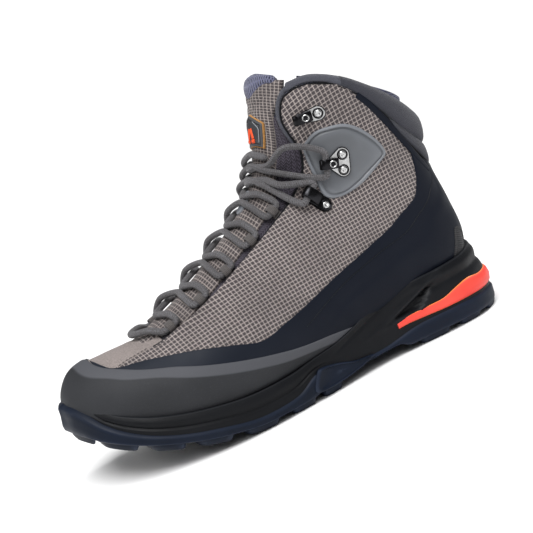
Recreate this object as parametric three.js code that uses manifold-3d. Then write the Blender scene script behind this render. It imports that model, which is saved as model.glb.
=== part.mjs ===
// A mid-cut hiking boot for the left foot, as an assembly of separate named pieces.
// Frame, in millimetres: the toe points along -X, the outer (lateral) side faces -Y, +Z is up,
// and the lugs stand on Z = 0 with the origin under the middle of the boot.
import * as THREE from "three";
import { mergeVertices } from "three/addons/utils/BufferGeometryUtils.js";
import Module from "manifold-3d";

const wasm = await Module();
wasm.setup();

// ---------------------------------------------------------------- driving dimensions

const GAP = 0.3; // between pieces that touch on the real boot
const CLOTH = 1.2; // outer fabric
const FILM = 1.0; // moulded film laid over the fabric
const RAND = 2.4; // rubber rand round the toe and sides
const LINING = 1.2; // waterproof inner boot
const LACE_RADIUS = 2.3;
const CENTRE = [-2.0, -2.9]; // middle of the box in X and Y, where the origin goes

// Tilted rings round the foot, from the toe tip (u = 0) up to the rim (u = 1). Each ring runs from
// its front point on the instep to its back point on the sole or the heel.
const RINGS = [
  { u: 0.0, front: [-152, 48], back: [-152, 48], half: 0, mid: 11, low: 0.5, high: 0.85, skew: 0.8 },
  { u: 0.04, front: [-150.5, 59], back: [-149, 38], half: 19, mid: 10.5, low: 0.48, high: 0.85, skew: 0.8 },
  { u: 0.08, front: [-145, 68], back: [-142, 31], half: 29.5, mid: 9, low: 0.45, high: 0.85, skew: 0.78 },
  { u: 0.14, front: [-134, 74.5], back: [-130, 26], half: 38.5, mid: 6, low: 0.42, high: 0.85, skew: 0.75 },
  { u: 0.2, front: [-118, 76], back: [-114, 23], half: 44, mid: 3, low: 0.42, high: 0.88, skew: 0.74 },
  { u: 0.28, front: [-95, 77.5], back: [-92, 20.5], half: 48, mid: 0, low: 0.42, high: 0.95, skew: 0.72 },
  { u: 0.36, front: [-72, 85], back: [-64, 20], half: 49.5, mid: -2.5, low: 0.42, high: 1.0, skew: 0.7 },
  { u: 0.44, front: [-47, 97], back: [-34, 21], half: 47, mid: -4, low: 0.42, high: 1.05, skew: 0.7 },
  { u: 0.52, front: [-23, 111], back: [0, 24], half: 43, mid: -4, low: 0.44, high: 1.08, skew: 0.72 },
  { u: 0.6, front: [0, 126], back: [42, 29], half: 39, mid: -3, low: 0.48, high: 1.05, skew: 0.76 },
  { u: 0.67, front: [16, 141], back: [92, 32], half: 37, mid: -1.5, low: 0.55, high: 1.0, skew: 0.82 },
  { u: 0.72, front: [24, 154], back: [128, 35], half: 36, mid: 0, low: 0.62, high: 0.97, skew: 0.88 },
  { u: 0.77, front: [28, 165], back: [142, 52], half: 35.5, mid: 0, low: 0.7, high: 0.95, skew: 0.92 },
  { u: 0.82, front: [30.5, 174], back: [141, 78], half: 36, mid: 0, low: 0.76, high: 0.93, skew: 0.95 },
  { u: 0.87, front: [33, 184], back: [137, 103], half: 37, mid: 0, low: 0.8, high: 0.92, skew: 0.97 },
  { u: 0.92, front: [36.5, 194], back: [137, 124], half: 38.5, mid: 0, low: 0.82, high: 0.92, skew: 1.0 },
  { u: 0.96, front: [40, 202], back: [139, 143], half: 40, mid: 0, low: 0.84, high: 0.92, skew: 1.0 },
  { u: 1.0, front: [44, 210], back: [142, 165], half: 41.5, mid: 0, low: 0.85, high: 0.92, skew: 1.0 },
];

// Seam lines on the upper: q is the share of the way round a ring, from its back point to its front.
const THROAT = [[0.25, 0.84], [0.28, 0.806], [0.35, 0.782], [0.48, 0.758], [0.61, 0.748], [0.71, 0.738],
  [0.78, 0.745], [0.835, 0.8], [0.89, 0.81], [0.95, 0.77]];
const WRAP_TOP = [[0.13, 1.0], [0.16, 0.95], [0.185, 0.76], [0.26, 0.722], [0.335, 0.632], [0.405, 0.516],
  [0.455, 0.44], [0.51, 0.424], [0.57, 0.425], [0.645, 0.439], [0.72, 0.444], [0.76, 0.415],
  [0.805, 0.357], [0.86, 0.302]];
const RAND_TOP = [[0.0, 1.0], [0.14, 1.0], [0.16, 0.9], [0.185, 0.738], [0.275, 0.627], [0.35, 0.516],
  [0.415, 0.391], [0.5, 0.294], [0.56, 0.2]];
const PAD_EDGE = [[0.86, 0.3], [0.9, 0.304], [0.925, 0.381], [0.945, 0.439], [0.965, 0.497], [1.0, 0.6]];

// Outline of the sole in plan, from the toe to the heel on both sides, with its heights.
const SOLE = [
  { outer: [-157, 11], inner: [-157, 11], ground: 34, edge: 57, cradle: 60 },
  { outer: [-153, -12], inner: [-152, 31], ground: 32, edge: 54.5, cradle: 57 },
  { outer: [-142, -33], inner: [-142, 40], ground: 26, edge: 41, cradle: 48 },
  { outer: [-125, -46.5], inner: [-127, 46], ground: 18.5, edge: 30, cradle: 40 },
  { outer: [-103, -54], inner: [-106, 50.5], ground: 11, edge: 21.5, cradle: 33 },
  { outer: [-79, -57.5], inner: [-84, 52], ground: 5, edge: 15.5, cradle: 28 },
  { outer: [-53, -57], inner: [-58, 50], ground: 0.8, edge: 10.5, cradle: 24.5 },
  { outer: [-25, -53], inner: [-30, 43], ground: 0, edge: 11, cradle: 24 },
  { outer: [-5, -49], inner: [-5, 35.5], ground: 0, edge: 18, cradle: 26 },
  { outer: [20, -43.5], inner: [20, 30.5], ground: 0, edge: 12, cradle: 29 },
  { outer: [48, -39.5], inner: [48, 31], ground: 0, edge: 11, cradle: 38 },
  { outer: [75, -39], inner: [75, 34], ground: 0, edge: 15, cradle: 42.5 },
  { outer: [104, -39], inner: [103, 37], ground: 0, edge: 15.5, cradle: 43 },
  { outer: [130, -34], inner: [128, 34], ground: 0, edge: 15, cradle: 44 },
  { outer: [149, -19], inner: [148, 20], ground: 0.6, edge: 14.5, cradle: 46 },
  { outer: [156, 0], inner: [156, 0], ground: 3, edge: 14.5, cradle: 48 },
];

// Every layer is cut along the same lines, so that neighbouring layers keep their distance.
const U_LINES = [0, 0.02, 0.05, 0.09, 0.14, 0.17, 0.2, 0.26, 0.32, 0.38, 0.44, 0.5, 0.56, 0.62, 0.67,
  0.7, 0.73, 0.76, 0.8, 0.84, 0.88, 0.92, 0.96, 1];
const Q_LINES = [0, 0.03, 0.09, 0.17, 0.26, 0.36, 0.47, 0.58, 0.69, 0.8, 0.9, 1];

// ---------------------------------------------------------------- small maths

const clamp = (x, a, b) => Math.min(Math.max(x, a), b);
const mix = (a, b, t) => a + (b - a) * t;
const smooth = (x, a, b) => {
  const t = clamp((x - a) / (b - a), 0, 1);
  return t * t * (3 - 2 * t);
};
const steps = (from, to, count) => Array.from({ length: count + 1 }, (_, i) => mix(from, to, i / count));
const linesBetween = (lines, from, to) => [from, ...lines.filter((x) => x > from && x < to), to];
const asFunction = (value) => (typeof value === "function" ? value : () => value);

// Smooth curve through rows of numbers, with its first column as the parameter.
function track(rows) {
  const slope = rows.map((row, i) => {
    const a = rows[Math.max(i - 1, 0)];
    const b = rows[Math.min(i + 1, rows.length - 1)];
    if (a === row || b === row) return row.map((_, k) => (b[k] - a[k]) / (b[0] - a[0]));
    const before = row[0] - a[0];
    const after = b[0] - row[0];
    return row.map((x, k) =>
      (((x - a[k]) / before) * after + ((b[k] - x) / after) * before) / (before + after));
  });
  return (at) => {
    const u = clamp(at, rows[0][0], rows[rows.length - 1][0]);
    const found = rows.findIndex((row) => row[0] > u);
    const i = found < 0 ? rows.length - 2 : found - 1;
    const span = rows[i + 1][0] - rows[i][0];
    const t = (u - rows[i][0]) / span;
    const h = 3 * t * t - 2 * t * t * t;
    return rows[i].map((x, k) =>
      mix(x, rows[i + 1][k], h) +
      span * (t * (1 - t) * (1 - t) * slope[i][k] - t * t * (1 - t) * slope[i + 1][k]));
  };
}

// Straight-line curve through pairs, for seams that must not swing past their points.
function seam(pairs) {
  return (at) => {
    const u = clamp(at, pairs[0][0], pairs[pairs.length - 1][0]);
    const found = pairs.findIndex((pair) => pair[0] > u);
    const i = found < 0 ? pairs.length - 2 : found - 1;
    return mix(pairs[i][1], pairs[i + 1][1], (u - pairs[i][0]) / (pairs[i + 1][0] - pairs[i][0]));
  };
}

// ---------------------------------------------------------------- the foot surface

const ringAt = track(RINGS.map((r) => [r.u, ...r.front, ...r.back, r.half, r.mid, r.low, r.high, r.skew]));

// v runs 0..1 from the back point to the front point on the outer side, and 2..1 on the inner side.
function foot(u, v) {
  const [, frontX, frontZ, backX, backZ, half, middle, low, high, skew] = ringAt(u);
  const round = ((v % 2) + 2) % 2;
  const q = round <= 1 ? round : 2 - round;
  const along = (1 - Math.cos(Math.PI * q)) / 2;
  const power = mix(low, high, smooth(q, 0, 1));
  const out = half * Math.pow(Math.max(Math.sin(Math.PI * Math.pow(q, skew)), 0), power);
  return new THREE.Vector3(
    mix(backX, frontX, along),
    middle + (round <= 1 ? -out : out),
    mix(backZ, frontZ, along),
  );
}

function footNormal(u, v) {
  const step = 0.004;
  const inside = Math.max(u, 0.012);
  const along = foot(Math.min(inside + step, 1), v).sub(foot(inside - step, v));
  const round = foot(inside, v + step).sub(foot(inside, v - step));
  const normal = along.cross(round).normalize();
  const tip = new THREE.Vector3(-1, 0, 0.1).normalize();
  return tip.lerp(normal, smooth(u, 0, 0.03)).normalize();
}

const skin = (u, v, depth) => foot(u, v).addScaledVector(footNormal(u, v), depth);

// ---------------------------------------------------------------- closed solids

// Triangles to one closed solid: shared corners are merged and flat triangles dropped.
function solidOf(positions) {
  const loose = new THREE.BufferGeometry();
  loose.setAttribute("position", new THREE.Float32BufferAttribute(positions, 3));
  const merged = mergeVertices(loose, 1e-3);
  const source = merged.index.array;
  const kept = [];
  for (let i = 0; i < source.length; i += 3) {
    const [a, b, c] = source.subarray(i, i + 3);
    if (a !== b && b !== c && c !== a) kept.push(a, b, c);
  }
  const solid = new wasm.Manifold(new wasm.Mesh({
    numProp: 3,
    vertProperties: merged.attributes.position.array,
    triVerts: new Uint32Array(kept),
  }));
  return solid;
}

// The biggest body of a cut solid, without the crumbs that a cut can leave.
function largest(solid) {
  return solid.decompose().reduce((best, body) => (body.volume() > best.volume() ? body : best));
}

function solidOfGeometry(geometry) {
  const flat = geometry.index ? geometry.toNonIndexed() : geometry;
  return solidOf(Array.from(flat.attributes.position.array));
}

class Surface {
  constructor() {
    this.positions = [];
  }
  triangle(a, b, c) {
    for (const p of [a, b, c]) this.positions.push(p.x, p.y, p.z);
  }
  quad(a, b, c, d) {
    this.triangle(a, b, c);
    this.triangle(a, c, d);
  }
  solid() {
    return solidOf(this.positions);
  }
}

// One side of the boot as a layer between two depths, bounded by two seams. An edge that lies on the
// centre line stays open, so that the other side's half closes it.
function layerHalf(surface, side, { u, low, high, inner, outer }) {
  const [lowAt, highAt, innerAt, outerAt] = [low, high, inner, outer].map(asFunction);
  const rows = linesBetween(U_LINES, u[0], u[1]).map((at) => {
    const [first, last] = [clamp(lowAt(at), 0, 1), clamp(highAt(at), 0, 1)];
    return Q_LINES.map((line) => {
      const q = line === 0 ? first : line === 1 ? last : clamp(line, first, last);
      const v = side < 0 ? q : 2 - q;
      return { q, inside: skin(at, v, innerAt(at, q)), outside: skin(at, v, outerAt(at, q)) };
    });
  });
  const across = Q_LINES.length - 1;
  const quad = (a, b, c, d) => (side < 0 ? surface.quad(a, b, c, d) : surface.quad(b, a, d, c));
  rows.slice(1).forEach((far, i) => {
    const near = rows[i];
    for (let j = 0; j < across; j++) {
      quad(near[j].outside, far[j].outside, far[j + 1].outside, near[j + 1].outside);
      quad(near[j].inside, near[j + 1].inside, far[j + 1].inside, far[j].inside);
    }
    const onCentre = (j) => [near[j], far[j]].every((p) => p.q === 0 || p.q === 1);
    if (!onCentre(0)) quad(near[0].outside, near[0].inside, far[0].inside, far[0].outside);
    if (!onCentre(across)) {
      quad(near[across].inside, near[across].outside, far[across].outside, far[across].inside);
    }
  });
  const [start, end] = [rows[0], rows[rows.length - 1]];
  for (let j = 0; j < across; j++) {
    quad(start[j].inside, start[j].outside, start[j + 1].outside, start[j + 1].inside);
    quad(end[j].outside, end[j].inside, end[j + 1].inside, end[j + 1].outside);
  }
}

function layer(side, spec) {
  const surface = new Surface();
  for (const one of side === 0 ? [-1, 1] : [side]) layerHalf(surface, one, spec);
  return surface.solid();
}

// Everything inside the foot surface moved out by a depth, closed at both ends.
function footSolid(depth) {
  return layer(0, { u: [0, 1], low: 0, high: 1, inner: -14, outer: depth }).add(
    layer(0, { u: [0.1, 0.98], low: 0, high: 1, inner: -30, outer: -8 }));
}

// A flat outline of x and z, carried from one y to another.
function sideBlock(points, from = -90, to = 90) {
  const shape = new THREE.Shape(points.map(([x, z]) => new THREE.Vector2(x, z)));
  const geometry = new THREE.ExtrudeGeometry(shape, { depth: to - from, bevelEnabled: false });
  geometry.rotateX(Math.PI / 2);
  geometry.translate(0, to, 0);
  return solidOfGeometry(geometry);
}

function box(sizeX, sizeY, sizeZ, matrix) {
  const geometry = new THREE.BoxGeometry(sizeX, sizeY, sizeZ);
  geometry.applyMatrix4(matrix);
  return solidOfGeometry(geometry);
}

// ---------------------------------------------------------------- the sole unit

const SOLE_COUNT = 22;
const soleAt = track(SOLE.map((s, i) =>
  [i / (SOLE.length - 1), ...s.outer, ...s.inner, s.ground, s.edge, s.cradle]));

// A closed ring round the sole: the plan outline moved out by an offset, at a height of its own.
function soleRing(offsetAt, heightAt) {
  const stations = steps(0, 1, SOLE_COUNT).map(soleAt);
  const outer = stations.map((s) => ({ s, x: s[1], y: s[2] }));
  const inner = stations.slice(1, -1).reverse().map((s) => ({ s, x: s[3], y: s[4] }));
  const ring = [...outer, ...inner];
  return ring.map((p, i) => {
    const before = ring[(i + ring.length - 1) % ring.length];
    const after = ring[(i + 1) % ring.length];
    const direction = new THREE.Vector2(after.x - before.x, after.y - before.y).normalize();
    const offset = offsetAt(p.s);
    return new THREE.Vector3(
      p.x + direction.y * offset,
      p.y - direction.x * offset,
      heightAt(p.s),
    );
  });
}

// Folds a ring onto the line halfway between its two sides.
function folded(ring) {
  return ring.map((p, i) => {
    const other = ring[(ring.length - i) % ring.length];
    return p.clone().add(other).multiplyScalar(0.5);
  });
}

function ringSolid(rings) {
  const surface = new Surface();
  const all = [folded(rings[0]), ...rings, folded(rings[rings.length - 1])];
  all.slice(1).forEach((ring, i) => {
    ring.forEach((_, j) => {
      const k = (j + 1) % ring.length;
      surface.quad(all[i][j], all[i][k], ring[k], ring[j]);
    });
  });
  return surface.solid();
}

const GROUND = 5;
const EDGE = 6;
const CRADLE = 7;

// The whole sole from the ground to the cradle line, before the foot and the layers are cut out.
function soleBlock(swell = 0, lift = 0) {
  const toe = (s) => smooth(s[0], 0.28, 0);
  const heel = (s) => smooth(s[0], 0.72, 0.95);
  return ringSolid([
    soleRing((s) => swell - 3 + toe(s) * 2, (s) => Math.max(s[GROUND], 0)),
    soleRing((s) => swell - 0.4 + toe(s) * 3.4, (s) => mix(s[GROUND], s[EDGE], 0.3)),
    soleRing((s) => swell + toe(s) * 1.5, (s) => mix(s[GROUND], s[EDGE], 0.75)),
    soleRing((s) => swell - 0.8 - toe(s) * 2.5, (s) => s[EDGE]),
    soleRing((s) => swell - 3 - toe(s) * 2.5 - heel(s) * 3.5, (s) => s[CRADLE] + lift),
  ]);
}

// The line between outsole and midsole seen from the side, closed below the ground.
function belowEdge(lift) {
  const top = steps(0, 1, 40).map(soleAt).map((s) => [(s[1] + s[3]) / 2, s[EDGE] + lift]);
  const outline = [[-175, -10], [-175, 58 + lift], ...top, [175, 14.5 + lift], [175, -10]];
  return sideBlock(outline.reverse());
}

const GROOVES = [-136, -117, -98, -79, -60, -41, -22, 84, 101, 118, 135];

function buildOutsole(block, footHollow) {
  const arch = sideBlock([[-10, -5], [-4, 6], [8, 8], [56, 8], [63, 5], [68, -5]].reverse());
  let solid = block.intersect(belowEdge(0)).subtract(footHollow).subtract(arch);
  const groundAt = track(SOLE.map((s) => [(s.outer[0] + s.inner[0]) / 2, s.ground]));
  for (const x of GROOVES) {
    const slope = Math.atan2(groundAt(x + 4)[1] - groundAt(x - 4)[1], 8);
    for (const side of [-1, 1]) {
      const place = new THREE.Matrix4()
        .makeTranslation(x, side * 34, groundAt(x)[1])
        .multiply(new THREE.Matrix4().makeRotationZ(side * 0.3))
        .multiply(new THREE.Matrix4().makeRotationY(-slope));
      solid = solid.subtract(box(4.5, 52, 6.5, place));
    }
  }
  return solid;
}

const STRIP_BACK = 160;
const stripProfile = (grow) => [
  [65 - grow, 17.6 - grow], [STRIP_BACK, 15.2 - grow], [STRIP_BACK, 24 + grow], [113, 25.4 + grow],
  [85, 23.4 + grow], [65 - grow, 21.6 + grow],
].reverse();

function stripCore(offset) {
  return ringSolid([soleRing(() => offset, () => 5), soleRing(() => offset, () => 35)]);
}

function buildSole() {
  const block = soleBlock();
  const footHollow = footSolid(GAP);
  const stripZone = sideBlock(stripProfile(GAP)).subtract(stripCore(-6 - GAP));
  const shankZone = shankSolid(GAP);
  const rest = block.subtract(belowEdge(GAP)).subtract(footHollow).subtract(stripZone);
  return {
    outsole: buildOutsole(block, footHollow),
    midsole: largest(rest.subtract(shankZone)),
    heel_strip: soleBlock(0.7).intersect(sideBlock(stripProfile(0))).subtract(stripCore(-6)),
    shank: shankSolid(0),
  };
}

// The shank is a springy plate let into the top of the midsole, from the ball to under the heel.
// The steel shank, or with grow the room it needs in the midsole.
function shankSolid(grow) {
  return layer(0, {
    u: [0.46 - grow / 400, 0.66 + grow / 400],
    low: 0,
    high: 0.03 + grow / 400,
    inner: grow ? -1 : GAP * 2,
    outer: 2.2 + grow,
  });
}

// ---------------------------------------------------------------- inner layers

const bootieDepth = (u) => -5.2 - 4.2 * smooth(u, 0.84, 0.92);

function buildInner() {
  const bottom = { low: 0 };
  return {
    bootie: layer(0, {
      u: [0.02, 0.975], low: 0, high: (u) => mix(1, 0.72, smooth(u, 0.24, 0.3)),
      inner: (u) => bootieDepth(u), outer: (u) => bootieDepth(u) + LINING,
    }).intersect(footSolid(-CLOTH - GAP)),
    footbed: layer(0, {
      u: [0.05, 0.7], ...bottom, high: 0.17, inner: -10.5, outer: -5.2 - GAP,
    }),
    lasting_board: layer(0, {
      u: [0.05, 0.7], ...bottom, high: 0.17, inner: -3.6, outer: -CLOTH - GAP,
    }),
    toe_puff: layer(0, {
      u: [0.0, 0.17], low: 0.26, high: 1, inner: -2.9, outer: -CLOTH - GAP,
    }),
    heel_counter: layer(0, {
      u: [0.73, 0.84], low: 0, high: 0.36, inner: -2.9, outer: -CLOTH - GAP,
    }),
    collar_padding: layer(0, {
      u: [0.88, 0.96], low: 0, high: 0.69,
      inner: (u) => bootieDepth(u) + LINING + GAP, outer: -CLOTH - GAP,
    }),
  };
}

// ---------------------------------------------------------------- outer layers

const throatAt = seam(THROAT);
const wrapAt = seam(WRAP_TOP);
const randAt = seam(RAND_TOP);
const padAt = seam(PAD_EDGE);
const VAMP_END = 0.26;
const SEAM_GAP = 0.004;

function buildUpper(soleClear) {
  const pieces = {
    toe_vamp: layer(0, {
      u: [0, VAMP_END], low: 0.09, high: 1, inner: -CLOTH, outer: 0,
    }),
    toe_rand: layer(0, {
      u: [0, 0.55], low: (u) => Math.min(0.1, randAt(u) - 0.02),
      high: randAt, inner: 3 * GAP, outer: GAP + RAND,
    }).subtract(soleClear),
    heel_patch: layer(0, {
      u: [0.73, 0.8], low: 0, high: 0.26, inner: 4.3 * GAP + FILM, outer: 4.3 * GAP + FILM + 1,
    }).subtract(soleClear).intersect(sideBlock([[104, 30], [128, 66], [150, 70], [150, 30]].reverse())),
    achilles_pad_upper: layer(0, {
      u: [0.925, 0.985], low: 0, high: (u) => padAt(u) - SEAM_GAP,
      inner: GAP, outer: (u, q) => 4 - 2 * q / 0.5,
    }),
    achilles_pad_lower: layer(0, {
      u: [0.868, 0.92], low: 0, high: (u) => padAt(u) - SEAM_GAP,
      inner: 2 * GAP, outer: (u, q) => 3.6 - 1.6 * q / 0.4,
    }),
  };
  for (const [name, side] of [["lateral", -1], ["medial", 1]]) {
    pieces["quarter_" + name] = layer(side, {
      u: [VAMP_END + SEAM_GAP, 0.96],
      low: (u) => (u < 0.71 ? 0.09 : SEAM_GAP / 2),
      high: throatAt, inner: -CLOTH, outer: 0,
    });
    pieces["overlay_" + name] = layer(side, {
      u: [0.17, 0.86],
      low: (u) => (u < 0.58 ? randAt(u) + 0.036 : Math.max(0.18 - 2 * smooth(u, 0.6, 0.8), SEAM_GAP)),
      high: wrapAt, inner: 2.7 * GAP, outer: 2.7 * GAP + FILM,
    }).subtract(soleClear);
    pieces["collar_binding_" + name] = layer(side, {
      u: [0.945, 0.985], low: (u) => padAt(u) + SEAM_GAP, high: 0.765,
      inner: GAP, outer: 1.6,
    });
    pieces["ankle_patch_" + name] = layer(side, anklePatch());
  }
  return pieces;
}

// The moulded patch under the hooks, a rounded kite on the ankle.
const PATCH_LOW = [[0.705, 0.65], [0.715, 0.61], [0.79, 0.53], [0.86, 0.425], [0.88, 0.455], [0.895, 0.56]];
const PATCH_HIGH = [[0.705, 0.655], [0.735, 0.7], [0.79, 0.735], [0.85, 0.68], [0.895, 0.57]];
function anklePatch() {
  return {
    u: [0.706, 0.893], low: seam(PATCH_LOW), high: seam(PATCH_HIGH),
    inner: GAP, outer: 2.2,
  };
}

// ---------------------------------------------------------------- the tongue

const TONGUE_FRONT = VAMP_END + SEAM_GAP;
const TONGUE_HINGE = 0.737;
const TONGUE_TOP = 0.958;
const tongueEdge = (u) => mix(0.9, 0.855, smooth(u, 0.26, 0.5));
const tongueSwell = (u, q) => 1.6 - 2.4 * smooth(q, 0.93, 0.86) * smooth(u, 0.25, 0.35);

function buildTongue() {
  const pieces = {
    tongue_lower: layer(0, {
      u: [TONGUE_FRONT, TONGUE_HINGE - SEAM_GAP], low: tongueEdge, high: 1,
      inner: -3.4, outer: tongueSwell,
    }),
    tongue_flap: layer(0, {
      u: [TONGUE_HINGE + SEAM_GAP, TONGUE_TOP], low: tongueEdge, high: 1,
      inner: -3.4, outer: tongueSwell,
    }),
    tongue_lining: layer(0, {
      u: [TONGUE_HINGE + SEAM_GAP, TONGUE_TOP], low: 0.87, high: 1,
      inner: -5.6, outer: -3.4 - GAP,
    }),
    tongue_badge: layer(0, {
      u: [0.757, 0.855], low: (u) => 0.9 + 0.035 * Math.abs(u - 0.806) / 0.049, high: 1,
      inner: 1.6 + GAP, outer: 3.4,
    }),
    tongue_keeper: layer(0, {
      u: [0.6, 0.64], low: (u) => 0.97 - 0.02 * (1 - Math.abs(u - 0.62) / 0.02), high: 1,
      inner: 1.6 + GAP, outer: 2.5,
    }),
  };
  for (const [name, side] of [["lateral", -1], ["medial", 1]]) {
    pieces["gusset_" + name] = layer(side, {
      u: [0.27, TONGUE_HINGE - SEAM_GAP], low: (u) => throatAt(u) - 0.02,
      high: (u) => tongueEdge(u) - SEAM_GAP, inner: -3.8, outer: -2.9,
    });
  }
  return pieces;
}

// ---------------------------------------------------------------- loops, hooks and lace

// A frame on the surface: x points forward across the throat, y up along it, z out of the boot.
function placeOn(u, v, depth, turn = 0) {
  const side = v <= 1 ? 1 : -1;
  const origin = skin(u, v, depth);
  const z = footNormal(u, v);
  const toFront = foot(u, v + 0.01 * side).sub(foot(u, v - 0.01 * side));
  const x = toFront.addScaledVector(z, -toFront.dot(z)).normalize();
  const y = x.clone().cross(z).multiplyScalar(side);
  const turned = new THREE.Matrix4().makeRotationZ(turn);
  return new THREE.Matrix4().makeBasis(x, y, z).setPosition(origin).multiply(turned);
}

function placed(solid, matrix) {
  return solid.transform(matrix.elements);
}

const LOOPS = [[0.34, 0.83], [0.415, 0.81], [0.487, 0.8], [0.56, 0.793], [0.63, 0.788]];
const LOOP_DEPTH = 1.7;
const LOWER_HOOK = [0.69, 0.655];
const MIDDLE_HOOK = [0.79, 0.625];
const UPPER_HOOK = [0.893, 0.675];

// A folded webbing loop: a flat strap round the lace, drawn as its side view and given its width.
function webbingLoop() {
  const thickness = 0.9;
  const bore = LACE_RADIUS + 0.9;
  const shape = new THREE.Shape();
  shape.absellipse(0, 0, bore + thickness + 0.8, bore + thickness, 0, 2 * Math.PI);
  const hole = new THREE.Path();
  hole.absellipse(0, 0, bore + 0.8, bore, 0, 2 * Math.PI);
  shape.holes.push(hole);
  const geometry = new THREE.ExtrudeGeometry(shape, { depth: 6, bevelEnabled: false, curveSegments: 5 });
  geometry.translate(0, 0, -3);
  geometry.rotateX(Math.PI / 2);
  return solidOfGeometry(geometry);
}

// A pressed hook: a riveted plate and a strap that curls out over the lace.
function hookSolid(plateLength, plateWidth) {
  const plate = new THREE.Shape();
  plate.absellipse(-2, 0, plateLength / 2, plateWidth / 2, 0, 2 * Math.PI);
  const plateGeometry = new THREE.ExtrudeGeometry(plate, {
    depth: PLATE, bevelEnabled: false, curveSegments: 6,
  });
  const strap = new THREE.Shape();
  const mouth = LACE_RADIUS + 0.5;
  strap.moveTo(2, 0);
  strap.lineTo(9, 0);
  strap.absarc(9, mouth + 1.2, mouth + 1.2, -Math.PI / 2, Math.PI / 2, false);
  strap.lineTo(5, 2 * mouth + 2.4);
  strap.lineTo(5, 2 * mouth + 1.2);
  strap.lineTo(9, 2 * mouth + 1.2);
  strap.absarc(9, mouth + 1.2, mouth, Math.PI / 2, -Math.PI / 2, true);
  strap.lineTo(2, 1.2);
  const strapGeometry = new THREE.ExtrudeGeometry(strap, {
    depth: 6, bevelEnabled: false, curveSegments: 4,
  });
  strapGeometry.translate(0, 0, -3);
  strapGeometry.rotateX(Math.PI / 2);
  return solidOfGeometry(plateGeometry).add(solidOfGeometry(strapGeometry));
}

function rivetSolid(headRadius, stem) {
  const profile = [[0, stem], [1.5, stem], [1.5, 0], [headRadius, 0], [headRadius - 0.5, 1], [0, 1.4]];
  const geometry = new THREE.LatheGeometry(profile.map(([x, y]) => new THREE.Vector2(x, y)), 10);
  geometry.rotateX(Math.PI / 2);
  return solidOfGeometry(geometry);
}

const PLATE = 1.2; // thickness of a hook's plate
const HOOKS = [
  { name: "hook_lower", at: LOWER_HOOK, depth: 2.5 * GAP, length: 14, width: 9,
    rivets: [[-5, 0]], next: 0.68 },
  { name: "hook_middle", at: MIDDLE_HOOK, depth: 2.2 + 3 * GAP, length: 13, width: 17,
    rivets: [[-3, 5], [-3, -5]], next: 0.722 },
  { name: "hook_upper", at: UPPER_HOOK, depth: 2.5 * GAP, length: 14, width: 11,
    rivets: [[-4, 0]] },
];

function buildHardware() {
  const pieces = {};
  for (const [name, side] of [["lateral", -1], ["medial", 1]]) {
    const around = (q) => (side < 0 ? q : 2 - q);
    LOOPS.forEach(([u, q], i) => {
      const place = placeOn(u, around(q), LOOP_DEPTH);
      pieces["lace_loop_" + name + "_" + (i + 1)] = placed(webbingLoop(), place);
    });
    for (const hook of HOOKS) {
      const place = placeOn(hook.at[0], around(hook.at[1]), hook.depth);
      let body = hookSolid(hook.length, hook.width);
      hook.rivets.forEach(([x, y], i) => {
        const bore = new THREE.CylinderGeometry(1.5 + GAP, 1.5 + GAP, 5, 10);
        bore.rotateX(Math.PI / 2);
        bore.translate(x, y, 0);
        body = body.subtract(solidOfGeometry(bore));
        const rivet = rivetSolid(3, -PLATE + 0.1 - GAP).translate([x, y, PLATE + GAP]);
        const suffix = hook.rivets.length > 1 ? "_" + (i + 1) : "";
        pieces["rivet" + hook.name.slice(4) + "_" + name + suffix] = placed(rivet, place);
      });
      pieces[hook.name + "_" + name] = placed(body, place);
    }
  }
  return pieces;
}

// The eye of a hook, where the lace lies, at a distance along the throat from its middle.
function eyeOf(hook, side, along) {
  const v = side < 0 ? hook.at[1] : 2 - hook.at[1];
  return new THREE.Vector3(9, along, LACE_RADIUS + 1.7).applyMatrix4(placeOn(hook.at[0], v, hook.depth));
}

const LACE_UNDER = 4.8; // depths of the lower and the upper strand where they cross
const LACE_OVER = 9.6;
const LACE_STEPS = 130;

// Half of the lace, from the first loop on one side up to its tucked end: it changes sides at each
// crossing, and one half rides over the other by turns.
function laceHalf(start, over) {
  const points = [];
  let side = start;
  const at = (u, q, depth) => points.push(skin(u, side < 0 ? q : 2 - q, depth));
  const cross = (from, to, turn) => {
    const depth = (turn + over) % 2 ? LACE_OVER : LACE_UNDER;
    at(mix(from, to, 0.3), 0.9, mix(LACE_UNDER - 0.6, depth, 0.5));
    points.push(skin(mix(from, to, 0.5), 1, depth));
    side = -side;
    at(mix(from, to, 0.7), 0.9, mix(LACE_UNDER - 0.6, depth, 0.5));
  };
  LOOPS.forEach(([u, q], i) => {
    const place = placeOn(u, side < 0 ? q : 2 - q, LOOP_DEPTH);
    for (const along of [-5, 0, 5]) points.push(new THREE.Vector3(0, along, 0).applyMatrix4(place));
    const next = LOOPS[i + 1] || [LOWER_HOOK[0] - 0.02];
    cross(u + 0.012, next[0] - 0.012, i);
  });
  for (const [i, hook] of HOOKS.slice(0, 2).entries()) {
    for (const along of [-7.5, 0, 7.5]) points.push(eyeOf(hook, side, along));
    at(hook.at[0] - 0.01, 0.8, 7);
    cross(hook.next - 0.01, hook.next + 0.01, i + 1);
  }
  return points;
}


function buildLace() {
  const route = [
    ...laceHalf(-1, 0).reverse(),
    skin(0.283, 0.9, 4.8),
    skin(0.272, 1, 4.8),
    skin(0.283, 1.1, 4.8),
    ...laceHalf(1, 1),
  ];
  const curve = new THREE.CatmullRomCurve3(route, false, "centripetal");
  const section = new THREE.Shape();
  section.absarc(0, 0, LACE_RADIUS, 0, 2 * Math.PI);
  const geometry = new THREE.ExtrudeGeometry(section, {
    steps: LACE_STEPS, extrudePath: curve, curveSegments: 4,
  });
  return { lace: solidOfGeometry(geometry) };
}

// ---------------------------------------------------------------- the assembly

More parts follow.
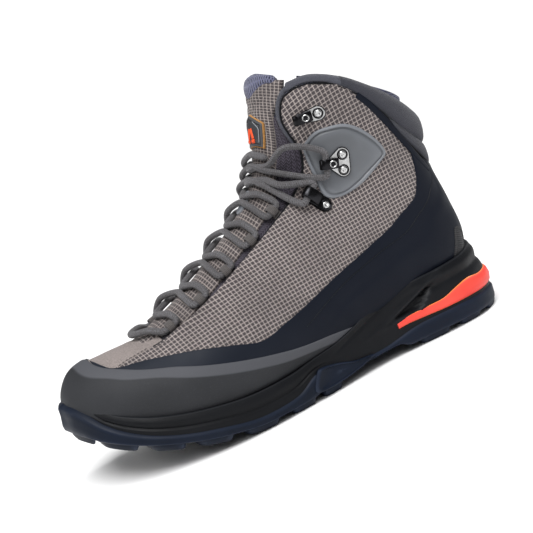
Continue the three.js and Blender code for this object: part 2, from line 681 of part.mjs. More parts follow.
const COLOURS = {
  rubber: { color: 0x1f2229, roughness: 0.75 },
  navy: { color: 0x1b2233, roughness: 0.6 },
  cloth: { color: 0x77706c, roughness: 0.9 },
  slate: { color: 0x3d424b, roughness: 0.9 },
  foam: { color: 0xb9b4a8, roughness: 0.95 },
  board: { color: 0xcbbd9d, roughness: 0.9 },
  steel: { color: 0x9aa0a6, roughness: 0.35, metalness: 0.9 },
  coral: { color: 0xe8452c, roughness: 0.5 },
  grey: { color: 0x6a6d73, roughness: 0.5 },
};

const MATERIAL_OF = [
  [/^outsole|^overlay|^heel_patch/, "navy"],
  [/^midsole|^toe_rand/, "rubber"],
  [/^heel_strip/, "coral"],
  [/^shank|^hook|^rivet/, "steel"],
  [/^bootie|pad|collar|gusset|lace|lining/, "slate"],
  [/^lasting|^heel_counter|^toe_puff/, "board"],
  [/^footbed/, "foam"],
  [/patch|badge|keeper/, "grey"],
  [/./, "cloth"],
];

function meshOf(name, solid) {
  const mesh = solid.getMesh();
  const geometry = new THREE.BufferGeometry();
  geometry.setAttribute("position", new THREE.BufferAttribute(mesh.vertProperties, 3));
  geometry.setIndex(new THREE.BufferAttribute(mesh.triVerts, 1));
  const [, colour] = MATERIAL_OF.find(([pattern]) => pattern.test(name));
  const result = new THREE.Mesh(geometry, new THREE.MeshStandardMaterial(COLOURS[colour]));
  result.name = name;
  return result;
}

const soleClear = soleBlock(GAP, 2 * GAP);
const boot = new THREE.Group();
const pieces = {
  ...buildSole(), ...buildInner(), ...buildUpper(soleClear), ...buildTongue(), ...buildHardware(),
  ...buildLace(),
};
for (const [name, solid] of Object.entries(pieces)) boot.add(meshOf(name, solid));

// The foot surface is drawn about the ankle; the part's origin is under the middle of its box.
boot.position.set(-CENTRE[0], -CENTRE[1], 0);
const part = new THREE.Group();
part.add(boot);

export default part;
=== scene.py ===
"""The looks of a mid-cut hiking boot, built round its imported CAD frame.

Sizes are in millimetres until mesh_object() turns them into metres of the frame: the toe points
along -X, the outer side faces -Y and the lugs stand on Z = 0.
"""

import math

import bpy
import numpy as np
from mathutils import Matrix, Vector


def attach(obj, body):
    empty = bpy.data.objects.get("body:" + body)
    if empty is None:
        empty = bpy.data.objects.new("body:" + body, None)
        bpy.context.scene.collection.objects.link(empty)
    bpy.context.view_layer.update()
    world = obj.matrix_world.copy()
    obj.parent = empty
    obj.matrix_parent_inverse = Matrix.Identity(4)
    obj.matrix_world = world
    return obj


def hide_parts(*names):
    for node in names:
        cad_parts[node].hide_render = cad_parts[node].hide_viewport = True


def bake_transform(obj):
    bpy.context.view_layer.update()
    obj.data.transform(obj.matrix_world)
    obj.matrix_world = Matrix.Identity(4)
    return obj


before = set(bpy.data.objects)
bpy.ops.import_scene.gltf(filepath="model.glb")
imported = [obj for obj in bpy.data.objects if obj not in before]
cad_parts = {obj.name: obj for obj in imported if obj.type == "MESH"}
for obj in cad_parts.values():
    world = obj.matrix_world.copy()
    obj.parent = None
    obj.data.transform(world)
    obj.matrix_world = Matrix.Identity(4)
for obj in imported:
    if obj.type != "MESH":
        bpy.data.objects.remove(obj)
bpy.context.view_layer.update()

BOOT = "boot"
TONGUE_TOP = "tongue_top"
SIDES = (("lateral", -1), ("medial", 1))

# ---------------------------------------------------------------- driving dimensions

ORIGIN = np.array([2.0, 2.9, 0.0])  # from the foot surface's own axes to the frame
LACE_RADIUS = 2.3
RIPSTOP_PITCH = 2.65
TONGUE_PITCH = 2.3

# Tilted rings round the foot, from the toe tip (u = 0) to the rim (u = 1):
# u, front x, front z, back x, back z, half width, middle y, roundness low and high, skew.
RINGS = np.array([
    (0.00, -152, 48, -152, 48, 0, 11, 0.50, 0.85, 0.80),
    (0.04, -150.5, 59, -149, 38, 19, 10.5, 0.48, 0.85, 0.80),
    (0.08, -145, 68, -142, 31, 29.5, 9, 0.45, 0.85, 0.78),
    (0.14, -134, 74.5, -130, 26, 38.5, 6, 0.42, 0.85, 0.75),
    (0.20, -118, 76, -114, 23, 44, 3, 0.42, 0.88, 0.74),
    (0.28, -95, 77.5, -92, 20.5, 48, 0, 0.42, 0.95, 0.72),
    (0.36, -72, 85, -64, 20, 49.5, -2.5, 0.42, 1.00, 0.70),
    (0.44, -47, 97, -34, 21, 47, -4, 0.42, 1.05, 0.70),
    (0.52, -23, 111, 0, 24, 43, -4, 0.44, 1.08, 0.72),
    (0.60, 0, 126, 42, 29, 39, -3, 0.48, 1.05, 0.76),
    (0.67, 16, 141, 92, 32, 37, -1.5, 0.55, 1.00, 0.82),
    (0.72, 24, 154, 128, 35, 36, 0, 0.62, 0.97, 0.88),
    (0.77, 28, 165, 142, 52, 35.5, 0, 0.70, 0.95, 0.92),
    (0.82, 30.5, 174, 141, 78, 36, 0, 0.76, 0.93, 0.95),
    (0.87, 33, 184, 137, 103, 37, 0, 0.80, 0.92, 0.97),
    (0.92, 36.5, 194, 137, 124, 38.5, 0, 0.82, 0.92, 1.00),
    (0.96, 40, 202, 139, 143, 40, 0, 0.84, 0.92, 1.00),
    (1.00, 44, 210, 142, 165, 41.5, 0, 0.85, 0.92, 1.00),
])

# Outline of the sole in plan, from the toe to the heel: outer x, y, inner x, y, then the heights
# of the ground side, of the outsole's upper edge and of the midsole's top.
SOLE = np.array([
    (-157, 11, -157, 11, 34, 57, 60),
    (-153, -12, -152, 31, 32, 54.5, 57),
    (-142, -33, -142, 40, 26, 41, 48),
    (-125, -46.5, -127, 46, 18.5, 30, 40),
    (-103, -54, -106, 50.5, 11, 21.5, 33),
    (-79, -57.5, -84, 52, 5, 15.5, 28),
    (-53, -57, -58, 50, 0.8, 10.5, 24.5),
    (-25, -53, -30, 43, 0, 11, 24),
    (-5, -49, -5, 35.5, 0, 18, 26),
    (20, -43.5, 20, 30.5, 0, 12, 29),
    (48, -39.5, 48, 31, 0, 11, 38),
    (75, -39, 75, 34, 0, 15, 42.5),
    (104, -39, 103, 37, 0, 15.5, 43),
    (130, -34, 128, 34, 0, 15, 44),
    (149, -19, 148, 20, 0.6, 14.5, 46),
    (156, 0, 156, 0, 3, 14.5, 48),
])

# Seams of the upper as (u, q) points; q is the share of the way round a ring from back to front.
THROAT = [(0.262, 0.86), (0.28, 0.806), (0.35, 0.782), (0.48, 0.758), (0.61, 0.748), (0.71, 0.738),
          (0.78, 0.743), (0.835, 0.79), (0.89, 0.805), (0.945, 0.775), (0.972, 0.7)]
WRAP_TOP = [(0.158, 0.97), (0.17, 0.84), (0.19, 0.765), (0.26, 0.724), (0.335, 0.632),
            (0.405, 0.516), (0.455, 0.434), (0.505, 0.425), (0.57, 0.425), (0.645, 0.439),
            (0.72, 0.444), (0.76, 0.415), (0.805, 0.357), (0.855, 0.304), (0.88, 0.29)]

# ---------------------------------------------------------------- curves and the foot surface


def smooth(x, low, high):
    t = np.clip((np.asarray(x, float) - low) / (high - low), 0, 1)
    return t * t * (3 - 2 * t)


def mix(a, b, t):
    return a + (b - a) * t


def ridge(x, at, width):
    """1 at a place, falling off smoothly to both sides of it."""
    return np.exp(-(((x - at) / width) ** 2))


def from_back(v):
    """The share q of the way round from back to front, the same on both sides."""
    return np.where(v <= 1, v, 2 - v)


def track(table, at):
    """Smooth curve through the rows of a table, whose first column is the parameter."""
    keys, values = table[:, 0], table[:, 1:]
    at = np.clip(np.asarray(at, float), keys[0], keys[-1])
    i = np.clip(np.searchsorted(keys, at, side="right") - 1, 0, len(keys) - 2)
    span = np.diff(keys)[:, None]
    slope = np.diff(values, axis=0) / span
    tangent = np.empty_like(values)
    tangent[0], tangent[-1] = slope[0], slope[-1]
    tangent[1:-1] = (slope[:-1] * span[1:] + slope[1:] * span[:-1]) / (span[:-1] + span[1:])
    h = span[i]
    t = (at[..., None] - keys[i][..., None]) / h
    return ((2 * t**3 - 3 * t**2 + 1) * values[i] + (t**3 - 2 * t**2 + t) * h * tangent[i]
            + (3 * t**2 - 2 * t**3) * values[i + 1] + (t**3 - t**2) * h * tangent[i + 1])


def through(points, count, closed=False):
    """A smooth curve through points, as count points, evenly spread over the given ones."""
    points = np.asarray(points, float)
    if closed:
        table = np.vstack([points[-2:], points, points[:3]])
        keys = np.arange(len(table)) - 2.0
        at = np.linspace(0, len(points), count, endpoint=False)
    else:
        table, keys = points, np.arange(len(points)) * 1.0
        at = np.linspace(0, len(points) - 1, count)
    return track(np.column_stack([keys, table]), at)


def along(points, step):
    """The same curve with points a fixed distance apart."""
    points = np.asarray(points, float)
    lengths = np.r_[0, np.cumsum(np.linalg.norm(np.diff(points, axis=0), axis=1))]
    at = np.linspace(0, lengths[-1], max(int(round(lengths[-1] / step)), 2) + 1)
    return np.column_stack([np.interp(at, lengths, points[:, k]) for k in range(points.shape[1])])


def seam(points, at):
    points = np.asarray(points, float)
    return np.interp(at, points[:, 0], points[:, 1])


def foot(u, v):
    """v runs 0..1 from the back point to the front point on the outer side and 2..1 on the inner."""
    v = np.mod(np.asarray(v, float), 2)
    q = from_back(v)
    side = np.where(v <= 1, -1.0, 1.0)
    front_x, front_z, back_x, back_z, half, middle, low, high, skew = np.moveaxis(
        track(RINGS, np.broadcast_to(u, v.shape)), -1, 0)
    share = (1 - np.cos(np.pi * q)) / 2
    power = mix(low, high, q * q * (3 - 2 * q))
    out = half * np.maximum(np.sin(np.pi * q**skew), 0) ** power
    return np.stack([mix(back_x, front_x, share), middle + side * out,
                     mix(back_z, front_z, share)], -1)


def unit(vectors):
    return vectors / np.maximum(np.linalg.norm(vectors, axis=-1, keepdims=True), 1e-12)


def foot_normal(u, v):
    u, v = np.broadcast_arrays(np.asarray(u, float), np.asarray(v, float))
    step = 0.004
    inside = np.maximum(u, 0.012)
    lengthwise = foot(np.minimum(inside + step, 1), v) - foot(inside - step, v)
    round_foot = foot(inside, v + step) - foot(inside, v - step)
    normal = unit(np.cross(lengthwise, round_foot))
    tip = unit(np.array([-1.0, 0.0, 0.1]))
    return unit(mix(tip, normal, smooth(u, 0, 0.03)[..., None]))


def skin(u, v, depth):
    return foot(u, v) + foot_normal(u, v) * np.asarray(depth, float)[..., None]


def to_side(points, side):
    """Points (u, q) on the outer or the inner side as (u, v)."""
    points = np.asarray(points, float).copy()
    if side > 0:
        points[:, 1] = 2 - points[:, 1]
    return points


# ---------------------------------------------------------------- meshes


def linked(name, data):
    """A new object in the scene."""
    obj = bpy.data.objects.new(name, data)
    bpy.context.scene.collection.objects.link(obj)
    return obj


def mesh_object(name, points, faces, uv=None, sharp=45):
    points = np.asarray(points, float)
    mesh = bpy.data.meshes.new(name)
    mesh.from_pydata(((points + ORIGIN) / 1000).tolist(), [], faces)
    if uv is not None:
        layer = mesh.uv_layers.new(name="UVMap")
        corners = np.empty(len(mesh.loops), int)
        mesh.loops.foreach_get("vertex_index", corners)
        layer.data.foreach_set("uv", np.asarray(uv, np.float32)[corners].ravel())
    volume = 0.0
    for face in faces:
        for b, c in zip(face[1:], face[2:]):
            volume += np.dot(points[face[0]], np.cross(points[b], points[c]))
    if volume < 0:
        mesh.flip_normals()
    mesh.shade_smooth()
    mesh.set_sharp_from_angle(angle=math.radians(sharp))
    return linked(name, mesh)


def quads(rows, cols, start=0, wrap_rows=False, wrap_cols=False):
    faces = []
    for i in range(rows if wrap_rows else rows - 1):
        for j in range(cols if wrap_cols else cols - 1):
            i2, j2 = (i + 1) % rows, (j + 1) % cols
            faces.append((start + i * cols + j, start + i2 * cols + j,
                          start + i2 * cols + j2, start + i * cols + j2))
    return faces


def tube_faces(rows, cols):
    """Faces of rings joined one after the other and closed at both ends."""
    faces = quads(rows, cols, wrap_cols=True)
    faces.append(tuple(range(cols - 1, -1, -1)))
    faces.append(tuple((rows - 1) * cols + j for j in range(cols)))
    return faces


def solve_steps(step_rows, step_cols):
    """Values on a grid whose steps along rows and columns come closest to the given ones."""
    shape = (step_cols.shape[0], step_rows.shape[1])

    def gather(rows, cols):
        total = np.zeros(shape)
        total[1:] += rows
        total[:-1] -= rows
        total[:, 1:] += cols
        total[:, :-1] -= cols
        return total

    value = np.zeros(shape)
    rest = gather(step_rows, step_cols)
    move = rest.copy()
    size = (rest**2).sum()
    for _ in range(6 * max(shape)):
        if size < 1e-10:
            break
        change = gather(np.diff(move, axis=0), np.diff(move, axis=1))
        share = size / (move * change).sum()
        value += share * move
        rest -= share * change
        new_size = (rest**2).sum()
        move = rest + move * new_size / size
        size = new_size
    return value


def flatten(grid, guide):
    """Lays a curved grid out flat, with U as nearly along the guide direction as it can be."""
    normal = unit(np.cross(np.gradient(grid, axis=0), np.gradient(grid, axis=1)))
    guide = np.asarray(guide, float)
    first = unit(guide - (normal @ guide)[..., None] * normal)
    second = np.cross(normal, first)
    flat = []
    for axis in (first, second):
        rows = (np.diff(grid, axis=0) * (axis[1:] + axis[:-1]) / 2).sum(-1)
        cols = (np.diff(grid, axis=1) * (axis[:, 1:] + axis[:, :-1]) / 2).sum(-1)
        flat.append(solve_steps(rows, cols))
    return np.stack(flat, -1) / 1000


EDGE_SHARES = np.array([0, 0.1, 0.3, 0.6, 1.0])  # lines close together along a rounded edge


def bunched(length, radius, count):
    edge = EDGE_SHARES * min(radius, length / 2.5) / length
    inside = np.linspace(edge[-1], 1 - edge[-1], count + 1)[1:-1]
    return np.concatenate([edge, inside, 1 - edge[::-1]])


def chart(points):
    """(u, v) as flat coordinates round the toe tip, where all v meet."""
    return points[..., :1] * np.stack([np.cos(np.pi * points[..., 1]),
                                       np.sin(np.pi * points[..., 1])], -1)


def unchart(flat):
    """The (u, v) of flat coordinates from chart()."""
    return np.stack([np.hypot(flat[..., 0], flat[..., 1]),
                     np.mod(np.arctan2(flat[..., 1], flat[..., 0]) / np.pi, 2)], -1)


def band(first, second, radius, step, on_chart=False):
    """Grid of (u, v) between two edges, given as matching lists of (u, v) points."""
    first, second = np.asarray(first, float), np.asarray(second, float)
    if on_chart:
        first, second = chart(first), chart(second)
    dense = 12 * len(first)
    edges = [through(first, dense), through(second, dense)]
    middle = (edges[0] + edges[1]) / 2
    edge_uv = unchart(middle) if on_chart else middle
    length = np.linalg.norm(np.diff(foot(edge_uv[:, 0], edge_uv[:, 1]), axis=0), axis=1)
    reached = np.r_[0, np.cumsum(length)]
    rows = bunched(reached[-1], radius, max(int(reached[-1] / step), 2))
    at = np.interp(rows * reached[-1], reached, np.linspace(0, 1, dense))
    ends = [np.column_stack([np.interp(at, np.linspace(0, 1, dense), edge[:, k]) for k in (0, 1)])
            for edge in edges]
    trial = ends[0][:, None] + (ends[1] - ends[0])[:, None] * np.linspace(0, 1, 9)[:, None]
    trial_uv = unchart(trial) if on_chart else trial
    widths = np.linalg.norm(np.diff(foot(trial_uv[..., 0], trial_uv[..., 1]), axis=1),
                            axis=-1).sum(1)
    count = max(int(widths.max() / step), 2)
    share = np.array([bunched(max(w, 0.5), radius, count) for w in widths])
    grid = ends[0][:, None] + (ends[1] - ends[0])[:, None] * share[..., None]
    return unchart(grid) if on_chart else grid


def border_distance(points):
    rows = np.linalg.norm(np.diff(points, axis=0), axis=-1).cumsum(0)
    cols = np.linalg.norm(np.diff(points, axis=1), axis=-1).cumsum(1)
    down = np.vstack([np.zeros((1, points.shape[1])), rows])
    across = np.hstack([np.zeros((points.shape[0], 1)), cols])
    return down, down[-1:] - down, across, across[:, -1:] - across


def slab(name, grid, outer, inner, radius=0.8, guide=(1, 0, 0), relief=None, uv=None):
    """A layer over a grid of (u, v), between two depths, with its outer edges rounded over."""
    u, v = grid[..., 0], grid[..., 1]
    base = foot(u, v)
    normal = foot_normal(u, v)
    sides = border_distance(base)
    inset = np.clip(np.minimum.reduce(sides) / radius, 0, 1)
    crown = 0.25 + 0.75 * np.sqrt(1 - (1 - inset) ** 2)
    outer = outer(u, v) if callable(outer) else np.full(u.shape, float(outer))
    if relief is not None:
        outer = outer + relief(u, v, sides)
    inner = inner(u, v) if callable(inner) else np.full(u.shape, float(inner))
    top = base + normal * (inner + (outer - inner) * crown)[..., None]
    bottom = base + normal * inner[..., None]
    rows, cols = u.shape
    count = rows * cols
    faces = quads(rows, cols) + [face[::-1] for face in quads(rows, cols, count)]
    ring = ([i * cols for i in range(rows)]
            + [(rows - 1) * cols + j for j in range(1, cols)]
            + [i * cols + cols - 1 for i in range(rows - 2, -1, -1)]
            + list(range(cols - 2, 0, -1)))
    faces += [(b, a, a + count, b + count) for a, b in zip(ring, ring[1:] + ring[:1])]
    flat = flatten(top, guide) if uv is None else uv(u, v, sides)
    flat = flat.reshape(-1, 2)
    return mesh_object(name, np.vstack([top.reshape(-1, 3), bottom.reshape(-1, 3)]), faces,
                       np.vstack([flat, flat]))


def plate(name, outline, heights, inner=0.3, count=72, straight=False):
    """A moulded patch with a closed outline of (u, v) points; heights is (inset, height) pairs."""
    if straight:
        corners = np.vstack([outline, outline[:1]])
        at = np.linspace(0, len(outline), count, endpoint=False)
        edge = np.column_stack([np.interp(at, np.arange(len(corners)), corners[:, k])
                                for k in (0, 1)])
    else:
        edge = through(outline, count, closed=True)
    middle = edge.mean(0)
    reach = np.linalg.norm(foot(edge[:, 0], edge[:, 1]) - foot(*middle), axis=1)
    heights = np.asarray(heights, float)
    insets = list(heights[:, 0])
    shares = [1 - inset / reach for inset in insets]
    last = shares[-1]
    depths = list(heights[:, 1])
    for part in (0.75, 0.5, 0.25):
        shares.append(last * part)
        depths.append(mix(heights[-1, 1], depths[len(insets) - 1] + 0.25, 1 - part))
    points = []
    for share, depth in zip(shares, depths):
        ring = middle + (edge - middle) * share[:, None]
        points.append(skin(ring[:, 0], ring[:, 1], np.full(count, depth)))
    rings = len(points)
    top_middle = skin(middle[0], middle[1], depths[-1])
    bottom_middle = skin(middle[0], middle[1], inner)
    bottom = skin(edge[:, 0], edge[:, 1], np.full(count, inner))
    inside = middle + (edge - middle) * 0.5
    bottom_inside = skin(inside[:, 0], inside[:, 1], np.full(count, inner))
    stack = np.vstack([bottom_inside, bottom, *points, top_middle[None], bottom_middle[None]])
    faces = quads(rings + 2, count, wrap_cols=True)
    top, low = (rings + 2) * count, (rings + 2) * count + 1
    for j in range(count):
        k = (j + 1) % count
        faces.append(((rings + 1) * count + j, top, (rings + 1) * count + k))
        faces.append((j, k, low))
    normal = foot_normal(middle[0], middle[1])
    first = unit(np.cross([0, 1.0, 0], normal) if abs(normal[1]) < 0.9 else np.array([1.0, 0, 0]))
    second = np.cross(normal, first)
    local = stack - top_middle
    return mesh_object(name, stack, faces, np.stack([local @ first, local @ second], -1) / 1000)


def carried_frames(points, start=None):
    """Tangent, side and up at each point of a path, without twist."""
    points = np.asarray(points, float)
    tangent = unit(np.gradient(points, axis=0))
    up = np.asarray(start if start is not None else [0.0, 0.0, 1.0], float)
    ups = []
    for t in tangent:
        up = unit(up - (up @ t) * t)
        ups.append(up)
    ups = np.array(ups)
    return tangent, np.cross(tangent, ups), ups


def sweep(points, section, ups=None, scale=None):
    """Points and faces of a section carried along a path, closed at both ends, with its UV."""
    points = np.asarray(points, float)
    section = np.asarray(section, float)
    tangent, side, up = carried_frames(points)
    if ups is not None:
        up = unit(ups - (ups * tangent).sum(-1, keepdims=True) * tangent)
        side = np.cross(tangent, up)
    size = np.ones(len(points)) if scale is None else scale
    rings = (points[:, None] + side[:, None] * section[:, :1] * size[:, None, None]
             + up[:, None] * section[:, 1:] * size[:, None, None])
    rows, cols = len(points), len(section)
    faces = tube_faces(rows, cols)
    reached = np.r_[0, np.cumsum(np.linalg.norm(np.diff(points, axis=0), axis=1))] / 1000
    angle = np.arange(cols) / cols
    uv = np.stack(np.broadcast_arrays(reached[:, None], angle[None]), -1)
    return rings.reshape(-1, 3), faces, uv.reshape(-1, 2)


def gathered(name, parts, sharp=45):
    """One object from several (points, faces, uv) parts."""
    points, faces, uv = [], [], []
    for part_points, part_faces, part_uv in parts:
        start = sum(len(p) for p in points)
        points.append(part_points)
        uv.append(part_uv)
        faces += [tuple(start + i for i in face) for face in part_faces]
    return mesh_object(name, np.vstack(points), faces, np.vstack(uv), sharp)


def circle(radius, count=8, flat=1.0):
    angle = np.linspace(0, 2 * np.pi, count, endpoint=False)
    return np.stack([np.cos(angle) * radius, np.sin(angle) * radius * flat], -1)


def on_skin(path, depth, step=2.0):
    """A path of (u, v) points as points over the foot surface, with the surface's normals."""
    line = through(path, 40 * len(path))
    points = skin(line[:, 0], line[:, 1], np.full(len(line), depth))
    packed = along(np.column_stack([points, line]), step)
    return packed[:, :3], foot_normal(packed[:, 3], packed[:, 4])


def piping(name, path, depth, section, step=2.0):
    points, normals = on_skin(path, depth, step)
    return gathered(name, [sweep(points, section, normals)])


def stitch_parts(path, depth, length=2.0, pitch=3.0, radius=0.32):
    """Thread stitches along a seam, each a small rounded bar lying on the cloth."""
    points, normals = on_skin(path, depth, pitch)
    parts = []
    for a, b, normal in zip(points[:-1], points[1:], normals):
        way = b - a
        bar = np.array([a + way * t * length / pitch for t in (0, 0.15, 0.5, 0.85, 1)])
        bar += normal * np.array([-0.15, 0.1, 0.15, 0.1, -0.15])[:, None]
        parts.append(sweep(bar, circle(radius, 6), np.repeat(normal[None], 5, 0),
                           np.array([0.5, 0.9, 1, 0.9, 0.5])))
    return parts


# ---------------------------------------------------------------- materials


class Paint:
    """A procedural material: a Principled shader and short calls for the nodes in front of it."""

    def __init__(self, name, roughness=0.6, shine=0.2, **inputs):
        self.material = bpy.data.materials.new(name)
        self.material.use_nodes = True
        self.tree = self.material.node_tree
        self.shader = self.tree.nodes["Principled BSDF"]
        self.shader.inputs["Roughness"].default_value = roughness
        self.shader.inputs["Specular IOR Level"].default_value = shine
        for key, value in inputs.items():
            self.shader.inputs[key.replace("_", " ")].default_value = value
        coordinates = self.tree.nodes.new("ShaderNodeTexCoord")
        self.place = coordinates.outputs["Object"]
        self.uv = coordinates.outputs["UV"]

    def put(self, socket, value):
        if isinstance(value, bpy.types.NodeSocket):
            self.tree.links.new(value, socket)
        else:
            socket.default_value = value

    def math(self, operation, *values):
        node = self.tree.nodes.new("ShaderNodeMath")
        node.operation = operation
        for socket, value in zip(node.inputs, values):
            self.put(socket, value)
        return node.outputs[0]

    def parts(self, vector):
        node = self.tree.nodes.new("ShaderNodeSeparateXYZ")
        self.put(node.inputs[0], vector)
        return node.outputs

    def ease(self, value, low, high, to_low=0.0, to_high=1.0):
        node = self.tree.nodes.new("ShaderNodeMapRange")
        node.interpolation_type = "SMOOTHSTEP"
        for socket, given in zip(node.inputs, (value, low, high, to_low, to_high)):
            self.put(socket, given)
        return node.outputs[0]

    def mixed(self, factor, a, b):
        node = self.tree.nodes.new("ShaderNodeMix")
        node.data_type = "RGBA"
        sockets = [node.inputs["Factor"], *[s for s in node.inputs if s.type == "RGBA"]]
        for socket, value in zip(sockets, (factor, a, b)):
            self.put(socket, (*value, 1) if isinstance(value, tuple) else value)
        return next(s for s in node.outputs if s.type == "RGBA")

    def noise(self, scale, detail=3.0, vector=None, stretch=None):
        node = self.tree.nodes.new("ShaderNodeTexNoise")
        vector = vector or self.place
        if stretch:
            turn = self.tree.nodes.new("ShaderNodeMapping")
            turn.inputs["Scale"].default_value = stretch
            self.put(turn.inputs["Vector"], vector)
            vector = turn.outputs[0]
        self.put(node.inputs["Vector"], vector)
        node.inputs["Scale"].default_value = scale
        node.inputs["Detail"].default_value = detail
        return node.outputs[0]

    def toned(self, colour, scale, detail, dark, light, low=0.3):
        """A colour that varies between a darker and a lighter shade of itself."""
        return self.mixed(self.ease(self.noise(scale, detail), low, 0.7), shade(colour, dark),
                          shade(colour, light))

    def mottled(self, base, other, scale, detail=3.0, low=0.35, high=0.7, amount=0.3):
        """A base colour with soft patches of another one."""
        return self.mixed(self.ease(self.noise(scale, detail), low, high, 0, amount), base, other)

    def stripes(self, coordinate, pitch, width, soft=0.3):
        """1 on lines of a width every pitch, in metres, and 0 between them."""
        wave = self.math("PINGPONG", coordinate, pitch / 2)
        edge = soft * width
        return self.ease(wave, width / 2 - edge, width / 2 + edge, 1.0, 0.0)

    def edges(self, low=0.5, high=0.6):
        node = self.tree.nodes.new("ShaderNodeNewGeometry")
        return self.ease(node.outputs["Pointiness"], low, high)

    def bump(self, height, distance, strength=1.0, below=None):
        node = self.tree.nodes.new("ShaderNodeBump")
        node.inputs["Distance"].default_value = distance
        node.inputs["Strength"].default_value = strength
        self.put(node.inputs["Height"], height)
        if below is not None:
            self.put(node.inputs["Normal"], below)
        return node.outputs[0]

    def done(self, colour, normal=None, roughness=None):
        self.put(self.shader.inputs["Base Color"], (*colour, 1) if isinstance(colour, tuple)
                 else colour)
        if normal is not None:
            self.put(self.shader.inputs["Normal"], normal)
        if roughness is not None:
            self.put(self.shader.inputs["Roughness"], roughness)
        return self.material


def shade(colour, factor):
    return tuple(c * factor for c in colour)


def ripstop(name, pitch, ground, line, line_share=0.3):
    """Cloth with a square grid of thick light threads over fine dark threads."""
    paint = Paint(name, 0.85, Sheen_Weight=0.15, Sheen_Roughness=0.5)
    across, up, _ = paint.parts(paint.uv)
    pitch = pitch / 1000
    lines = paint.math("MAXIMUM", paint.stripes(across, pitch, pitch * line_share),
                       paint.stripes(up, pitch, pitch * line_share))
    crossing = paint.math("MULTIPLY", paint.stripes(across, pitch, pitch * line_share),
                          paint.stripes(up, pitch, pitch * line_share))
    fine = paint.math("ADD", paint.math("PINGPONG", across, pitch / 9),
                      paint.math("PINGPONG", up, pitch / 7))
    threads = paint.ease(fine, pitch / 20, pitch / 6)
    cell = paint.mixed(threads, shade(ground, 0.55), shade(ground, 1.35))
    grid = paint.toned(line, 900, 4, 0.62, 1.2)
    grid = paint.mixed(crossing, grid, shade(line, 1.25))
    colour = paint.mixed(lines, cell, grid)
    colour = paint.mottled(colour, shade(ground, 0.5), 26, amount=0.22)
    height = paint.math("ADD", paint.math("MULTIPLY", lines, 1.0),
                        paint.math("MULTIPLY", threads, 0.3))
    normal = paint.bump(height, 0.00035, 0.9)
    return paint.done(colour, normal)


def plain_cloth(name, colour, pitch=0.8, contrast=0.5, roughness=0.9, sheen=0.1):
    """Even weave of two threads crossing, at an angle to the grid."""
    paint = Paint(name, roughness, Sheen_Weight=sheen, Sheen_Roughness=0.5)
    across, up, _ = paint.parts(paint.uv)
    step = pitch / 1000
    first = paint.math("PINGPONG", paint.math("ADD", across, up), step / 2)
    second = paint.math("PINGPONG", paint.math("SUBTRACT", across, up), step / 2)
    weave = paint.ease(paint.math("MULTIPLY", first, second), 0.0, step * step / 5)
    woven = paint.mixed(weave, shade(colour, 1 - contrast), shade(colour, 1 + contrast / 2))
    woven = paint.mottled(woven, shade(colour, 1.4), 1100, 3, 0.3, 0.75, 0.5)
    woven = paint.mottled(woven, shade(colour, 0.6), 30, amount=0.25)
    return paint.done(woven, paint.bump(weave, 0.0003, 0.8))


def rubber(name, colour, roughness=0.55, grain=1400, grain_depth=0.00006, edge=None, speckle=0.0):
    """Moulded rubber or foam: fine grain, dust-soft patches and a lighter colour on its sharp edges.
    """
    paint = Paint(name, roughness, 0.14)
    tone = paint.toned(colour, 22, 4, 0.82, 1.18)
    if speckle:
        tone = paint.mottled(tone, shade(colour, 3.5), 2600, 2, 0.62, 0.74, speckle)
    if edge:
        tone = paint.mixed(paint.edges(0.51, 0.58), tone, edge)
    gloss = paint.ease(paint.noise(60, 3), 0.3, 0.7, roughness - 0.06, roughness + 0.08)
    return paint.done(tone, paint.bump(paint.noise(grain, 2), grain_depth, 0.8), gloss)


def rand_rubber():
    """Charcoal rubber with fine upright ribs near its top edge; V is the way down from it."""
    paint = Paint("rand_rubber", 0.62)
    colour = (0.0225, 0.0235, 0.0265)
    across, down, _ = paint.parts(paint.uv)
    ribs = paint.stripes(across, 0.0013, 0.00065, 0.5)
    zone = paint.ease(down, 0.0085, 0.0105, 1.0, 0.0)
    tone = paint.toned(colour, 18, 4, 0.85, 1.2)
    tone = paint.mixed(paint.math("MULTIPLY", ribs, zone), tone, shade(colour, 1.75))
    tone = paint.mottled(tone, shade(colour, 3.0), 2300, 2, 0.6, 0.72, 0.35)
    tone = paint.mixed(paint.math("MULTIPLY", zone, 0.55), tone, (0.105, 0.108, 0.122))
    height = paint.math("ADD", paint.math("MULTIPLY", ribs, paint.math("MULTIPLY", zone, 0.7)),
                        paint.math("MULTIPLY", paint.noise(1500, 2), 0.5))
    return paint.done(tone, paint.bump(height, 0.00012, 0.9))


def film(name, colour):
    """Thin moulded film: semi-matt navy, with a painted highlight that makes it paler and bluer
    towards the toe.
    """
    paint = Paint(name, 0.5, 0.1)
    x, _, _ = paint.parts(paint.place)
    # Painted highlight: towards the toe the navy turns paler and bluer.
    toe = paint.ease(x, -0.15, 0.02, 1.0, 0.0)
    tone = paint.mixed(toe, colour, (0.019, 0.023, 0.032))
    tone = paint.mottled(tone, shade(colour, 0.7), 14)
    grain = paint.noise(1700, 2)
    gloss = paint.ease(paint.noise(50, 3), 0.3, 0.7, 0.44, 0.56)
    return paint.done(tone, paint.bump(grain, 0.00005, 0.7), gloss)


def coral():
    """Coral foam strip with a brighter orange line along its two edges; V is 0 to 1 across it."""
    paint = Paint("strip_foam", 0.42)
    _, across, _ = paint.parts(paint.uv)
    rim = paint.ease(paint.math("ABSOLUTE", paint.math("SUBTRACT", across, 0.5)), 0.4, 0.47)
    tone = paint.mixed(paint.ease(paint.noise(30, 3), 0.3, 0.7), (0.80, 0.055, 0.04),
                       (0.90, 0.085, 0.06))
    tone = paint.mixed(rim, tone, (0.95, 0.26, 0.05))
    return paint.done(tone, paint.bump(paint.noise(900, 2), 0.00004, 0.6))


